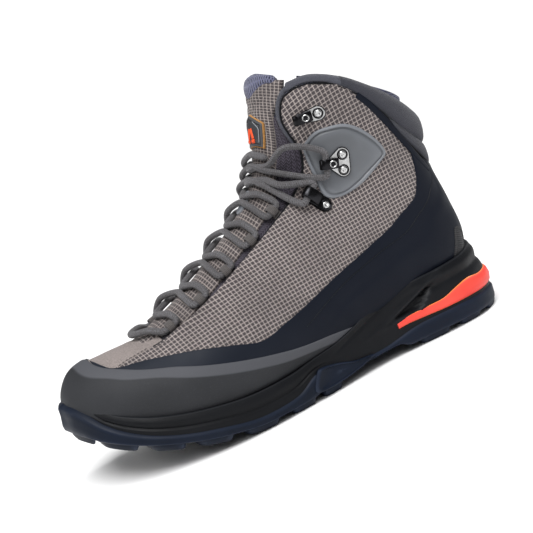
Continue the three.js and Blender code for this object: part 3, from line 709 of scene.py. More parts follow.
def netting(name, colour, line, pitch=1.7):
    """Open knitted mesh: pale threads round small dark holes, set slantwise."""
    paint = Paint(name, 0.9, Sheen_Weight=0.3, Sheen_Roughness=0.4)
    across, up, _ = paint.parts(paint.uv)
    step = pitch / 1000
    slant = paint.math("MULTIPLY", up, 0.7)
    first = paint.math("PINGPONG", paint.math("ADD", across, slant), step / 2)
    second = paint.math("PINGPONG", paint.math("SUBTRACT", across, slant), step / 2)
    hole = paint.ease(paint.math("MULTIPLY", first, second), step * step * 0.03, step * step * 0.12)
    tone = paint.mixed(hole, line, colour)
    tone = paint.mottled(tone, shade(line, 1.3), 700, 3, 0.3, 0.8, 0.4)
    return paint.done(tone, paint.bump(paint.math("SUBTRACT", 1.0, hole), 0.00045, 0.9))


def knit(name, colour, pitch=1.6):
    """Chevron ribs: rows of slanting stitches that change direction at each rib."""
    paint = Paint(name, 0.92, Sheen_Weight=0.2)
    across, up, _ = paint.parts(paint.uv)
    step = pitch / 1000
    fold = paint.math("PINGPONG", across, step)
    rows = paint.stripes(paint.math("ADD", up, paint.math("MULTIPLY", fold, 0.9)), step * 0.8,
                         step * 0.4, 0.5)
    rib = paint.ease(fold, 0.0, step * 0.3)
    tone = paint.mixed(paint.math("MULTIPLY", rows, rib), shade(colour, 0.35), shade(colour, 1.5))
    tone = paint.mottled(tone, shade(colour, 1.8), 600, 3, 0.3, 0.8)
    return paint.done(tone, paint.bump(paint.math("MULTIPLY", rows, rib), 0.0004, 0.9))


def braid(name, colour, glint):
    """Round woven lace: two families of strands wind round it; U is along it, V is round it."""
    paint = Paint(name, 0.8, Sheen_Weight=0.2, Sheen_Roughness=0.4)
    length, round_lace, _ = paint.parts(paint.uv)
    turn = paint.math("MULTIPLY", round_lace, 0.0056)
    one = paint.stripes(paint.math("ADD", length, turn), 0.0014, 0.0008, 0.5)
    other = paint.stripes(paint.math("SUBTRACT", length, turn), 0.0014, 0.0008, 0.5)
    strands = paint.math("MAXIMUM", one, paint.math("MULTIPLY", other, 0.75))
    tone = paint.mixed(strands, shade(colour, 0.4), shade(colour, 1.3))
    # Painted highlight: small bluish flecks of the glint colour.
    tone = paint.mottled(tone, glint, 1500, 2, 0.45, 0.75, 0.5)
    tone = paint.mottled(tone, shade(colour, 0.7), 40, 2, 0.4, amount=0.35)
    return paint.done(tone, paint.bump(strands, 0.00035, 1.0))


def metal(name, colour, roughness, grain=0.00002):
    """Pressed metal with fine scuffs and darker hollows."""
    paint = Paint(name, roughness, 0.5, Metallic=1.0)
    tone = paint.toned(colour, 180, 4, 0.8, 1.1, low=0.35)
    tone = paint.mixed(paint.edges(0.5, 0.6), tone, shade(colour, 1.5))
    gloss = paint.ease(paint.noise(900, 3, stretch=(1, 6, 1)), 0.3, 0.7, roughness * 0.8,
                       roughness * 1.3)
    return paint.done(tone, paint.bump(paint.noise(1200, 3), grain, 0.6), gloss)


def webbing(name, colour, pitch=0.9):
    """Narrow woven tape with ribs across it."""
    paint = Paint(name, 0.88, Sheen_Weight=0.15)
    across, _, _ = paint.parts(paint.uv)
    ribs = paint.stripes(across, pitch / 1000, pitch / 2000, 0.5)
    tone = paint.mixed(ribs, shade(colour, 0.5), shade(colour, 1.25))
    tone = paint.mottled(tone, shade(colour, 1.6), 900, 3, 0.35, 0.75, 0.4)
    return paint.done(tone, paint.bump(ribs, 0.0002, 0.9))


def moulded_grey():
    """Soft-touch moulded patch, mid grey, duller towards the top and darkened there by painted shade.
    """
    paint = Paint("ankle_tpu", 0.36, 0.45)
    colour = (0.115, 0.122, 0.135)
    _, _, z = paint.parts(paint.place)
    low = paint.ease(z, 0.115, 0.17, 1.15, 0.75)
    tone = paint.toned(colour, 35, 3, 0.86, 1.1)
    # Painted shade: the patch turns darker towards its top.
    tone = paint.mixed(paint.ease(z, 0.12, 0.165, 0.0, 0.45), tone, shade(colour, 0.5))
    tone = paint.mixed(paint.edges(0.5, 0.57), tone, shade(colour, 1.7))
    gloss = paint.ease(low, 0.7, 1.2, 0.42, 0.3)
    return paint.done(tone, paint.bump(paint.noise(1900, 2), 0.00004, 0.7), gloss)


MATERIALS = {
    "ripstop": ripstop("ripstop", RIPSTOP_PITCH, (0.062, 0.053, 0.056), (0.34, 0.295, 0.28), 0.26),
    "tongue_cloth": ripstop("tongue_cloth", TONGUE_PITCH, (0.06, 0.051, 0.053),
                            (0.30, 0.26, 0.245), 0.28),
    "vamp_cloth": plain_cloth("vamp_cloth", (0.33, 0.285, 0.27), 1.3, 0.6),
    "pad_cloth": plain_cloth("pad_cloth", (0.046, 0.047, 0.06), 0.75, 0.3, 0.85, 0.15),
    "binding_tape": plain_cloth("binding_tape", (0.085, 0.088, 0.11), 0.6, 0.25, 0.75, 0.15),
    "lining_mesh": netting("lining_mesh", (0.012, 0.014, 0.032), (0.13, 0.135, 0.21)),
    "gusset_knit": knit("gusset_knit", (0.05, 0.043, 0.058)),
    # The lace's second colour is its painted highlight, bluish flecks on the strands.
    "lace_cord": braid("lace_cord", (0.088, 0.083, 0.086), (0.26, 0.27, 0.30)),
    "webbing": webbing("webbing", (0.085, 0.077, 0.075)),
    "film": film("film", (0.006, 0.008, 0.0145)),
    "rand_rubber": rand_rubber(),
    "outsole_rubber": rubber("outsole_rubber", (0.005, 0.0085, 0.018), 0.5,
                             edge=(0.02, 0.027, 0.046)),
    "midsole_eva": rubber("midsole_eva", (0.0055, 0.006, 0.0075), 0.5, 900, 0.0001,
                          edge=(0.02, 0.0215, 0.025), speckle=0.05),
    "strip_foam": coral(),
    "heel_panel": webbing("heel_panel", (0.014, 0.0145, 0.017), 1.3),
    "badge_rubber": rubber("badge_rubber", (0.045, 0.047, 0.052), 0.45, edge=(0.09, 0.093, 0.10)),
    "badge_line": rubber("badge_line", (0.30, 0.30, 0.32), 0.5),
    "keeper_tpu": rubber("keeper_tpu", (0.10, 0.108, 0.125), 0.3, edge=(0.25, 0.26, 0.28)),
    "ankle_tpu": moulded_grey(),
    "hook_metal": metal("hook_metal", (0.02, 0.02, 0.022), 0.25),
    "rivet_metal": metal("rivet_metal", (0.5, 0.5, 0.5), 0.26),
    "shank_steel": metal("shank_steel", (0.45, 0.46, 0.48), 0.35),
    "board": rubber("board", (0.55, 0.45, 0.30), 0.9, 400, 0.0002),
    "footbed_foam": plain_cloth("footbed_foam", (0.045, 0.047, 0.055), 1.1, 0.5),
    "piping_orange": webbing("piping_orange", (0.40, 0.20, 0.06), 0.8),
    "glyph_orange": rubber("glyph_orange", (0.85, 0.10, 0.03), 0.45),
    "seam_thread": webbing("seam_thread", (0.10, 0.09, 0.088), 0.6),
    # Near-black for painted shadow lines under the throat flap and in the gap along the collar seam.
    "painted_shadow_black": rubber("painted_shadow_black", (0.006, 0.0065, 0.008), 0.7),
    "film_line": rubber("film_line", (0.006, 0.0075, 0.011), 0.5),
}


def place(obj, material, body=BOOT, replaced=(), slot=None):
    """Gives a piece its material and body and hides the CAD parts it stands for; slot is not used."""
    obj.data.materials.append(MATERIALS[material])
    if body:
        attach(obj, body)
    if replaced:
        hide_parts(*replaced)
    slot = slot or material
    return obj


# ---------------------------------------------------------------- padded cloth


CLOTH_STEPS = 15
CLOTH_PRESSURE = 4.0
SWELL_LIMIT = 1.2  # millimetres that a point may move


def puff(obj):
    """Blows a stuffed piece up as cloth from its own mesh."""
    bpy.context.view_layer.objects.active = obj
    before = np.array([vertex.co for vertex in obj.data.vertices])
    cloth = obj.modifiers.new("cloth", "CLOTH")
    cloth.settings.use_pressure = True
    cloth.settings.uniform_pressure_force = CLOTH_PRESSURE
    cloth.settings.effector_weights.gravity = 0
    cloth.settings.quality = 4
    cloth.settings.tension_stiffness = 12
    cloth.settings.bending_stiffness = 0.4
    scene = bpy.context.scene
    for number in range(1, CLOTH_STEPS + 1):
        scene.frame_set(number)
    evaluated = obj.evaluated_get(bpy.context.evaluated_depsgraph_get())
    after = np.array([vertex.co for vertex in evaluated.data.vertices])
    obj.modifiers.remove(cloth)
    scene.frame_set(1)
    move = after - before
    length = np.linalg.norm(move, axis=1, keepdims=True)
    move *= np.minimum(1, SWELL_LIMIT / 1000 / np.maximum(length, 1e-9))
    obj.data.vertices.foreach_set("co", (before + move).ravel())
    obj.data.update()


# ---------------------------------------------------------------- the upper


def build_vamp():
    edge = [(0.13, 0.70), (0.17, 0.72), (0.2, 0.76), (0.235, 0.79), (0.27, 0.80), (0.31, 0.81)]
    grid = band(to_side(edge, -1), to_side(edge, 1), 0.8, 3.5)
    vamp = slab("toe_vamp_cloth", grid, lambda u, v: 0.3 - 1.4 * smooth(u, 0.266, 0.28), -2.4, 0.8)
    place(vamp, "vamp_cloth", replaced=["toe_vamp"])
    for name, side in SIDES:
        seam_line = to_side([(0.165, 0.70), (0.19, 0.765), (0.235, 0.80), (0.275, 0.812)], side)
        stitches = gathered("vamp_stitches_" + name, stitch_parts(seam_line, 1.0, 1.7, 2.8, 0.28))
        place(stitches, "seam_thread")


def side_cloth(u, v, _):
    """The quarters are cut from cloth laid flat on the boot's side, tilted a little to the heel."""
    x, y, z = np.moveaxis(foot(u, v), -1, 0)
    turn = math.radians(6)
    up = z + 0.45 * (48 - np.abs(y))
    return np.stack([x * math.cos(turn) + up * math.sin(turn),
                     up * math.cos(turn) - x * math.sin(turn)], -1) / 1000


def build_quarter(name, side):
    low = [(0.165, 0.66), (0.26, 0.6), (0.335, 0.52), (0.405, 0.42), (0.46, 0.36), (0.54, 0.34),
           (0.63, 0.34), (0.71, 0.33), (0.76, 0.27), (0.805, 0.22), (0.86, 0.2), (0.895, 0.24),
           (0.922, 0.36), (0.945, 0.44), (0.966, 0.52), (0.973, 0.58)]
    high = [(0.168, 0.745), (0.215, 0.79), (0.262, 0.803), (0.30, 0.797), (0.36, 0.778),
            (0.44, 0.765), (0.52, 0.757), (0.6, 0.749), (0.67, 0.742), (0.73, 0.739),
            (0.785, 0.746), (0.825, 0.78), (0.86, 0.803), (0.91, 0.798), (0.942, 0.765),
            (0.964, 0.69)]
    grid = band(to_side(low, side), to_side(high, side), 1.0, 3.2)

    def swell(u, v):
        """The cloth bulges over the ankle padding and stands up along the throat."""
        q = from_back(v)
        ankle = smooth(u, 0.86, 0.94) * smooth(q, 0.3, 0.5) * (1 - smooth(q, 0.7, 0.82))
        throat = smooth(u, 0.29, 0.36) * (1 - smooth(u, 0.62, 0.68))
        return 0.75 + 1.1 * ankle + 2.4 * throat * smooth(q - seam(THROAT, u), -0.07, 0.0)

    quarter = slab("quarter_cloth_" + name, grid, swell, -1.2, 1.0, uv=side_cloth)
    place(quarter, "ripstop", replaced=["quarter_" + name])
    # The throat edge is sewn, with one row of stitches behind it; a thin black roll along the edge is
    # painted shadow beneath the raised flap.
    edge = to_side([(0.285, 0.802), (0.36, 0.781), (0.44, 0.768), (0.52, 0.76), (0.6, 0.752),
                    (0.67, 0.745), (0.73, 0.742), (0.785, 0.749), (0.815, 0.772)], side)
    roll = piping("throat_painted_shadow_" + name, edge, 0.1, circle(0.8, 8, 0.8))
    place(roll, "painted_shadow_black", slot="ripstop")
    stitched = to_side([(0.285, 0.78), (0.36, 0.757), (0.44, 0.745), (0.52, 0.737), (0.6, 0.729),
                        (0.68, 0.722)], side)
    place(gathered("throat_stitches_" + name, stitch_parts(stitched, 0.95)), "seam_thread")


def build_overlay(name, side):
    low = [(0.157, 0.90), (0.166, 0.74), (0.2, 0.66), (0.275, 0.58), (0.35, 0.45), (0.415, 0.32),
           (0.5, 0.22), (0.56, 0.16), (0.63, 0.12), (0.7, 0.06), (0.74, 0.0), (0.78, 0.0),
           (0.82, 0.0), (0.85, 0.0), (0.874, 0.0)]
    grid = band(to_side(low, side), to_side(WRAP_TOP, side), 0.7, 3.0)
    line_q = [(0.5, 0.33), (0.53, 0.347), (0.645, 0.401), (0.745, 0.386), (0.81, 0.294),
              (0.85, 0.2)]

    def relief(u, v, _):
        """The lower part is moulded thicker, with a shallow step along a line."""
        q = from_back(v)
        below = seam([(0.5, 0.2), (0.6, 0.319), (0.69, 0.352), (0.77, 0.333), (0.83, 0.2)], u) - q
        return 0.5 * smooth(below, -0.01, 0.02) * smooth(u, 0.5, 0.6)

    overlay = slab("overlay_film_" + name, grid, 1.75, 0.78, 0.7, relief=relief)
    place(overlay, "film", replaced=["overlay_" + name])
    line = piping("overlay_line_" + name, to_side(line_q[1:], side), 1.72, circle(0.32, 6))
    place(line, "film_line", slot="film")


def build_rand():
    """The rand runs from one side round the toe to the other in a single piece."""
    low = [(0.60, 0.085), (0.5, 0.10), (0.4, 0.13), (0.3, 0.17), (0.2, 0.24), (0.12, 0.32),
           (0.06, 0.44), (0.025, 0.68)]
    top = [(0.60, 0.15), (0.545, 0.227), (0.46, 0.34), (0.38, 0.46), (0.30, 0.595),
           (0.215, 0.705), (0.168, 0.81), (0.156, 0.93)]
    both = []
    for edge, middle in ((low, (0.018, 1.0)), (top, (0.157, 1.0))):
        both.append(np.vstack([to_side(edge, -1), [middle], to_side(edge[::-1], 1)]))
    grid = band(both[0], both[1], 1.6, 3.0, on_chart=True)

    def lay_out(u, v, sides):
        """U is the way along the rand and V the way down from its top edge."""
        down, _, _, from_top = sides
        along_top = down[:, -1:] + 0 * u
        return np.stack([along_top, from_top], -1) / 1000

    def crown(u, v, sides):
        return 0.5 * smooth(sides[3], 0, 12)

    rand = slab("toe_rand_rubber", grid, 2.5, 0.9, 1.6, relief=crown, uv=lay_out)
    place(rand, "rand_rubber", replaced=["toe_rand"])


def build_heel_panel():
    outline = [(0.775, 0.155), (0.765, 0.215), (0.73, 0.19), (0.718, 0.13), (0.735, 0.08),
               (0.76, 0.1)]
    for name, side in SIDES:
        panel = plate("heel_panel_" + name, to_side(outline, side),
                      [(0, 1.9), (0.5, 2.6), (1.4, 2.7), (2.2, 2.3), (4, 2.4)], 1.4)
        place(panel, "heel_panel", replaced=["heel_patch"])


PATCH = [(0.79, 0.738), (0.752, 0.722), (0.72, 0.69), (0.703, 0.652), (0.713, 0.615), (0.75, 0.572),
         (0.79, 0.527), (0.83, 0.47), (0.858, 0.428), (0.878, 0.445), (0.893, 0.5), (0.893, 0.56),
         (0.873, 0.625), (0.85, 0.678), (0.822, 0.715)]


def build_ankle_patch(name, side):
    profile = [(0, 0.9), (0.25, 1.7), (0.8, 2.1), (1.8, 2.15), (2.3, 1.9), (2.7, 1.25),
               (3.2, 1.25), (3.7, 1.75), (5, 2.0)]
    patch = plate("ankle_patch_" + name + "_moulding", to_side(PATCH, side), profile, 0.3, 96)
    place(patch, "ankle_tpu", replaced=["ankle_patch_" + name])


# ---------------------------------------------------------------- the collar


def collar_ring(name, v_from, v_to, section, count=64, taper=None):
    """A closed section of (u, depth) points, given for each v, carried round the foot."""
    points = []
    for v in np.linspace(v_from, v_to, count):
        outline = through(section(v), 28, closed=True)
        middle = outline.mean(0)
        ring = middle + (outline - middle) * (1.0 if taper is None else taper(v))
        points.append(skin(ring[:, 0], np.full(len(ring), v), ring[:, 1]))
    points = np.array(points)
    cols = points.shape[1]
    faces = tube_faces(count, cols)
    along_v = np.r_[0, np.cumsum(np.linalg.norm(np.diff(points.mean(1), axis=0), axis=1))]
    steps = np.linalg.norm(np.diff(np.vstack([points[0], points[0][:1]]), axis=0), axis=1)
    round_section = np.r_[0, np.cumsum(steps)][:-1]
    uv = np.stack(np.broadcast_arrays(along_v[:, None], round_section[None]), -1) / 1000
    return mesh_object(name, points.reshape(-1, 3), faces, uv.reshape(-1, 2), 80)


def pillow(low, top, bulge, inner):
    """A stuffed section between two u limits, which stands out by bulge and in to inner."""
    def at(share, depth):
        return mix(low, top, share), depth

    return [at(0, 0.2), at(0.12, 0.3 + 0.7 * bulge), at(0.45, 0.3 + bulge),
            at(0.85, 0.3 + 0.75 * bulge), at(1.08, -1.5), at(0.9, inner + 0.6), at(0.5, inner),
            at(0.1, inner + 1.2), at(0, inner / 2)]


# Collar pads by their share round the foot: lower edge, upper edge and bulge.
UPPER_PAD = np.array([(0, 0.915, 0.958, 4.6), (0.2, 0.916, 0.962, 4.4), (0.3, 0.922, 0.968, 3.8),
                      (0.38, 0.938, 0.974, 3.0), (0.46, 0.954, 0.98, 2.2),
                      (0.54, 0.968, 0.986, 1.6), (0.62, 0.973, 0.988, 1.3),
                      (0.7, 0.966, 0.983, 1.2), (0.78, 0.938, 0.962, 1.0)])
LOWER_PAD = np.array([(0, 0.876, 0.917, 3.4), (0.15, 0.88, 0.918, 3.0), (0.25, 0.893, 0.921, 2.2),
                      (0.33, 0.912, 0.93, 1.2), (0.4, 0.93, 0.942, 0.7)])


def build_collar():
    """Two stuffed pillows behind the heel; the upper one narrows to a taped edge at the front."""
    def upper(v):
        low, top, bulge = track(UPPER_PAD, abs(v))
        return pillow(low, top, bulge, -6.5 + 2.0 * smooth(abs(v), 0.4, 0.7))

    def lower(v):
        low, top, bulge = track(LOWER_PAD, abs(v))
        return pillow(low, top, bulge, -1.5)

    def closing(end):
        return lambda v: float(1 - 0.7 * smooth(abs(v), end - 0.06, end))

    pads = [("achilles_pad_upper", upper, 0.56, 0), ("achilles_pad_lower", lower, 0.4, 1)]
    for node, section, end, tapered in pads:
        pad = collar_ring(node + "_cloth", -end, end, section, 80, closing(end) if tapered else None)
        puff(pad)
        place(pad, "pad_cloth", replaced=[node])
    for name, side in SIDES:
        ends = (0.552, 0.78) if side < 0 else (-0.552, -0.78)
        binding = collar_ring("collar_binding_tape_" + name, *ends, upper, 40)
        place(binding, "binding_tape", replaced=["collar_binding_" + name])
        front = to_side([(0.8, 0.768), (0.835, 0.802), (0.87, 0.818), (0.91, 0.812),
                         (0.935, 0.795), (0.952, 0.77)], side)
        place(piping("collar_front_tape_" + name, front, -0.3, circle(1.9, 10, 0.6)),
              "binding_tape")
        # A black line along the collar's lower seam is painted shadow in the gap between the collar
        # and the cloth.
        seam_line = to_side([(0.80, 0.76), (0.83, 0.786), (0.86, 0.803), (0.91, 0.797),
                             (0.938, 0.765), (0.962, 0.7), (0.9715, 0.62), (0.966, 0.54),
                             (0.951, 0.46), (0.934, 0.38), (0.91, 0.33), (0.888, 0.24),
                             (0.876, 0.12), (0.874, 0.0)], side)
        place(piping("collar_seam_shadow_" + name, seam_line, 1.3, circle(0.6, 6)), "painted_shadow_black",
              slot="binding_tape")
        strip = to_side([(0.86, 0.2), (0.88, 0.27), (0.905, 0.335), (0.928, 0.395),
                         (0.945, 0.445), (0.96, 0.5)], side)
        place(piping("collar_film_strip_" + name, strip, 1.5, circle(2.4, 12, 0.3)), "film")


def build_inner_boot():
    """A thin-walled sock, open along the front where the tongue and gussets close it."""
    rows, cols = 44, 60
    u = np.linspace(0.025, 0.982, rows)[:, None] + np.zeros((1, cols))
    reach = mix(0.995, 0.74, smooth(u[:, :1], 0.24, 0.3))
    v = np.linspace(-1, 1, cols)[None] * reach
    depth = -5.2 - 4.2 * smooth(u, 0.84, 0.92) + 3.2 * smooth(u, 0.95, 0.982)
    grid = np.stack([u, v], -1)
    sock = slab("bootie_lining", grid, lambda *_: depth + 1.0, lambda *_: depth, 0.5,
                guide=(1, 0, 0))
    place(sock, "lining_mesh", replaced=["bootie", "collar_padding"])


def build_footbed():
    at = np.linspace(0.06, 0.69, 30)
    edge = np.column_stack([at, np.full(30, 0.165)])
    grid = band(to_side(edge, -1) * [1, -1], edge, 1.5, 4.0)
    bed = slab("footbed_cover", grid, -5.6, -10.4, 1.5, guide=(1, 0, 0))
    place(bed, "footbed_foam", replaced=["footbed"])


# ---------------------------------------------------------------- the tongue


def tongue_edge(u):
    lower = mix(0.9, 0.805, smooth(u, 0.26, 0.38))
    return lower + 0.05 * smooth(u, 0.64, 0.72) - 0.06 * smooth(u, 0.85, 0.94)


def build_tongue():
    at = np.linspace(0.266, 0.97, 28)
    edge = np.column_stack([at, tongue_edge(at)])
    grid = band(edge, to_side(edge, 1), 2.5, 3.0)

    def padding(u, v):
        """Fuller down the middle, thin at the sides, with a sewn dip above the badge."""
        q = from_back(v)
        channel = ridge(u - 0.4 * (1 - q), 0.875, 0.006)
        return (-0.3 + 2.1 * smooth(q, 0.84, 0.96) * smooth(u, 0.25, 0.35)
                + 0.8 * smooth(u, 0.88, 0.93) - 1.2 * channel)

    def lay_out(u, v, _):
        return np.stack([(v - 1) * 0.11, u * 0.27], -1)

    tongue = slab("tongue_cloth", grid, padding, -3.4, 2.5, uv=lay_out)
    place(tongue, "tongue_cloth", body=None, replaced=["tongue_lower", "tongue_flap"])
    fold_point(0.722)
    fold_point(0.752)
    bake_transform(tongue)

    def roll(v):
        """The rolled top stands out over the cloth, deepest on the middle line."""
        away = abs(v - 1)
        return pillow(mix(0.912, 0.958, smooth(away, 0, 0.13)), 0.988 - 0.05 * away,
                      mix(4.4, 1.8, smooth(away, 0, 0.15)), -6.0)

    top = collar_ring("tongue_lining_mesh", 0.835, 1.165, roll, 48,
                      lambda v: float(1 - 0.5 * smooth(abs(v - 1), 0.14, 0.165)))
    puff(top)
    place(top, "lining_mesh", TONGUE_TOP, ["tongue_lining"])


def fold_point(u):
    point = (skin(u, 1.0, 0.0) + ORIGIN) / 1000
    return tuple(float(x) for x in point)


def build_gusset(name, side):
    at = np.linspace(0.28, 0.86, 20)
    outer = np.column_stack([at, seam(THROAT, at) - 0.03])
    inner = np.column_stack([at, tongue_edge(at) + 0.012])
    grid = band(to_side(outer, side), to_side(inner, side), 0.6, 3.0)
    gusset = slab("gusset_knit_" + name, grid, -2.3, -3.6, 0.6, guide=(0, -1, 0))
    place(gusset, "gusset_knit", body=None, replaced=["gusset_" + name])
    fold_point(0.722)
    fold_point(0.752)
    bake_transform(gusset)


BADGE = [(0.757, 0.905), (0.842, 0.895)]


def build_badge():
    outline = np.vstack([BADGE, [(0.868, 1.0)], to_side(BADGE[::-1], 1)])
    trim = plate("tongue_badge_trim", outline, [(0, 1.9), (0.3, 2.5), (0.9, 2.6)], 1.2, 70, True)
    place(trim, "piping_orange", TONGUE_TOP, slot="badge_rubber")
    middle = outline.mean(0)
    inner = middle + (outline - middle) * 0.94
    badge = plate("tongue_badge_rubber", inner,
                  [(0, 2.4), (0.3, 3.1), (0.8, 3.4), (1.6, 3.4), (1.9, 2.9), (2.6, 2.9),
                   (2.9, 3.3)], 1.4, 70, True)
    place(badge, "badge_rubber", TONGUE_TOP, ["tongue_badge"])
    chevron = [(0.775, 0.93), (0.825, 0.925), (0.845, 0.965)]
    for name, side in SIDES:
        points, normals = on_skin(along(to_side(chevron, side), 0.002), 3.45, 2.0)
        place(gathered("tongue_badge_line_" + name, [sweep(points, circle(0.3, 6), normals)]),
              "badge_line", TONGUE_TOP, slot="badge_rubber")
    # A generic sign of two slanting bars on short feet.
    parts = []
    for path in ([(0.822, 0.992), (0.786, 0.976)], [(0.822, 1.008), (0.786, 1.024)],
                 [(0.778, 0.962), (0.777, 0.985)], [(0.778, 1.038), (0.777, 1.015)]):
        points, normals = on_skin(np.array(path), 3.5, 2.0)
        parts.append(sweep(points, circle(1.4, 8, 0.5), normals))
    place(gathered("tongue_badge_sign", parts), "glyph_orange", TONGUE_TOP, slot="badge_rubber")


def build_keeper():
    outline = [(0.60, 0.965), (0.62, 0.955), (0.642, 0.97), (0.65, 1.0), (0.642, 1.03),
               (0.62, 1.045), (0.6, 1.035), (0.592, 1.0)]
    keeper = plate("tongue_keeper_moulding", outline, [(0, 2.0), (0.3, 2.9), (1, 3.3)], 1.2, 40)
    place(keeper, "keeper_tpu", replaced=["tongue_keeper"])


# ---------------------------------------------------------------- loops, hooks and lace

LOOPS = [(0.34, 0.83), (0.415, 0.81), (0.487, 0.80), (0.56, 0.793), (0.63, 0.788)]
LOOP_DEPTH = 1.7
LOWER_HOOK = (0.69, 0.655)
MIDDLE_HOOK = (0.79, 0.625)
UPPER_HOOK = (0.893, 0.675)
LACE_UNDER = 4.4
LACE_OVER = 8.9
HOOK_DEPTHS = {"hook_lower": 0.75, "hook_middle": 3.1, "hook_upper": 0.75}
HOOK_TURNS = {"hook_lower": 0, "hook_middle": 28, "hook_upper": 32}
MOUTH = LACE_RADIUS + 0.5


def place_on(u, q, depth, side):
    """A frame on the surface: x forward across the throat, y up along it, z out of the boot."""
    v = q if side < 0 else 2 - q
    way = 1 if side < 0 else -1
    z = foot_normal(u, v)
    to_front = foot(u, v + 0.01 * way) - foot(u, v - 0.01 * way)
    x = unit(to_front - (to_front @ z) * z)
    y = np.cross(x, z) * way
    return skin(u, v, depth), np.array([x, y, z])


def hook_place(hook, at, side):
    """The frame a hook sits in; the upper hooks are turned to point a little downwards."""
    origin, (x, y, z) = place_on(*at, HOOK_DEPTHS[hook], side)
    turn = math.radians(HOOK_TURNS[hook])
    return origin, np.array([x * math.cos(turn) - y * math.sin(turn),
                             x * math.sin(turn) + y * math.cos(turn), z])


def put(local, where):
    origin, axes = where
    return origin + np.asarray(local, float) @ axes


def extrude_outline(outline, low, high, bevel=0.25):
    """Points and faces of a flat outline given a thickness and a small bevel on both rims."""
    outline = np.asarray(outline, float)
    middle = outline.mean(0)
    inset = middle + (outline - middle) * (1 - bevel / np.linalg.norm(outline - middle, axis=1)
                                           .mean())
    count = len(outline)
    rings = [np.column_stack([ring, np.full(count, z)]) for ring, z in
             ((inset, low), (outline, low + bevel), (outline, high - bevel), (inset, high))]
    faces = tube_faces(4, count)
    points = np.vstack(rings)
    return points, faces, points[:, :2] / 1000


def strap_part(width):
    """The curled strap, drawn from the side in x and z, with its width along y."""
    arc = np.linspace(-np.pi / 2, np.pi / 2 * 1.1, 14)
    middle = MOUTH + 1.2
    outer = [(0, 1.3), (5, 1.25)] + [(9 + (MOUTH + 0.6) * math.cos(a),
                                      middle + (MOUTH + 0.6) * math.sin(a)) for a in arc]
    outer += [(4.5, 2 * MOUTH + 1.0), (0.5, 2 * MOUTH - 0.6)]
    line = along(through(outer, 80), 0.6)
    points = np.column_stack([line[:, 0], np.zeros(len(line)), line[:, 1]])
    ups = np.repeat([[0.0, 1.0, 0.0]], len(points), 0)
    section = [(-0.6, -width / 2 + 0.5), (-0.3, -width / 2), (0.3, -width / 2),
               (0.6, -width / 2 + 0.5), (0.6, width / 2 - 0.5), (0.3, width / 2),
               (-0.3, width / 2), (-0.6, width / 2 - 0.5)]
    return sweep(points, section, ups)


def hull_outline(circles, count=48):
    """The outline of a band stretched round circles (x, y, radius)."""
    angle = np.linspace(0, 2 * np.pi, count, endpoint=False)
    way = np.column_stack([np.cos(angle), np.sin(angle)])
    circles = np.asarray(circles, float)
    reach = way @ circles[:, :2].T + circles[:, 2]
    best = circles[reach.argmax(1)]
    return best[:, :2] + way * best[:, 2:]


def ring_part(x, y, z, radius, thickness):
    angle = np.linspace(0, 2 * np.pi, 29)
    path = np.column_stack([x + radius * np.cos(angle), y + radius * np.sin(angle),
                            np.full(29, z)])
    return sweep(path, circle(thickness, 8), np.repeat([[0.0, 0.0, 1.0]], 29, 0))


def rivet_part(x, y, z, radius):
    """A domed rivet head with a dimple."""
    profile = [(radius, -0.4), (radius, 0.2), (radius * 0.82, 0.75), (radius * 0.5, 0.85),
               (radius * 0.32, 0.55), (0.05, 0.45)]
    count = 24
    angle = np.linspace(0, 2 * np.pi, count, endpoint=False)
    points = np.array([(x + r * math.cos(a), y + r * math.sin(a), z + h)
                       for r, h in profile for a in angle])
    faces = tube_faces(len(profile), count)
    return points, faces, points[:, :2] / 1000


def moved(part, where):
    points, faces, uv = part
    return put(points, where), faces, uv


HOOKS = [
    ("hook_lower", LOWER_HOOK, [(-4.5, 0)], [(-3.5, 0, 4.6), (5, 0, 4.0)], 7.5),
    ("hook_middle", MIDDLE_HOOK, [(-3, 5), (-3, -5)],
     [(-3, 5, 4.4), (-3, -5, 4.4), (4, 0, 3.6)], 6.5),
    ("hook_upper", UPPER_HOOK, [(-4, 0)], [(-4, 0, 4.6), (4, 0, 3.6)], 6.5),
]


def grown(circles, by):
    return [(x, y, radius + by) for x, y, radius in circles]


def build_hooks(name, side):
    for hook, at, rivets, lobes, width in HOOKS:
        where = hook_place(hook, at, side)
        node = hook + "_" + name
        # A black plate 0.5 mm wider than the plating lies under it: partly the hook's black rim,
        # partly painted shadow round the plating.
        base = [moved(extrude_outline(hull_outline(grown(lobes, 0.5)), 0, 0.8, 0.2), where),
                moved(strap_part(width), where)]
        base += [moved(ring_part(x, y, 1.5, 3.1, 0.55), where) for x, y in rivets]
        plating = [moved(extrude_outline(hull_outline(lobes), 0.7, 1.35, 0.3), where)]
        if hook == "hook_lower":
            base += plating
        else:
            window = moved(ring_part(4.4, 0, 2 * MOUTH + 1.7, 2.0, 0.5), where)
            place(gathered(node + "_rims", [*plating, window]), "rivet_metal")
        place(gathered(node + "_body", base), "hook_metal", replaced=[node])
        for i, (x, y) in enumerate(rivets):
            suffix = "_%d" % (i + 1) if len(rivets) > 1 else ""
            rivet = "rivet" + hook[4:] + "_" + name + suffix
            place(gathered(rivet + "_head", [moved(rivet_part(x, y, 1.5, 2.4), where)]),
                  "rivet_metal", replaced=[rivet])


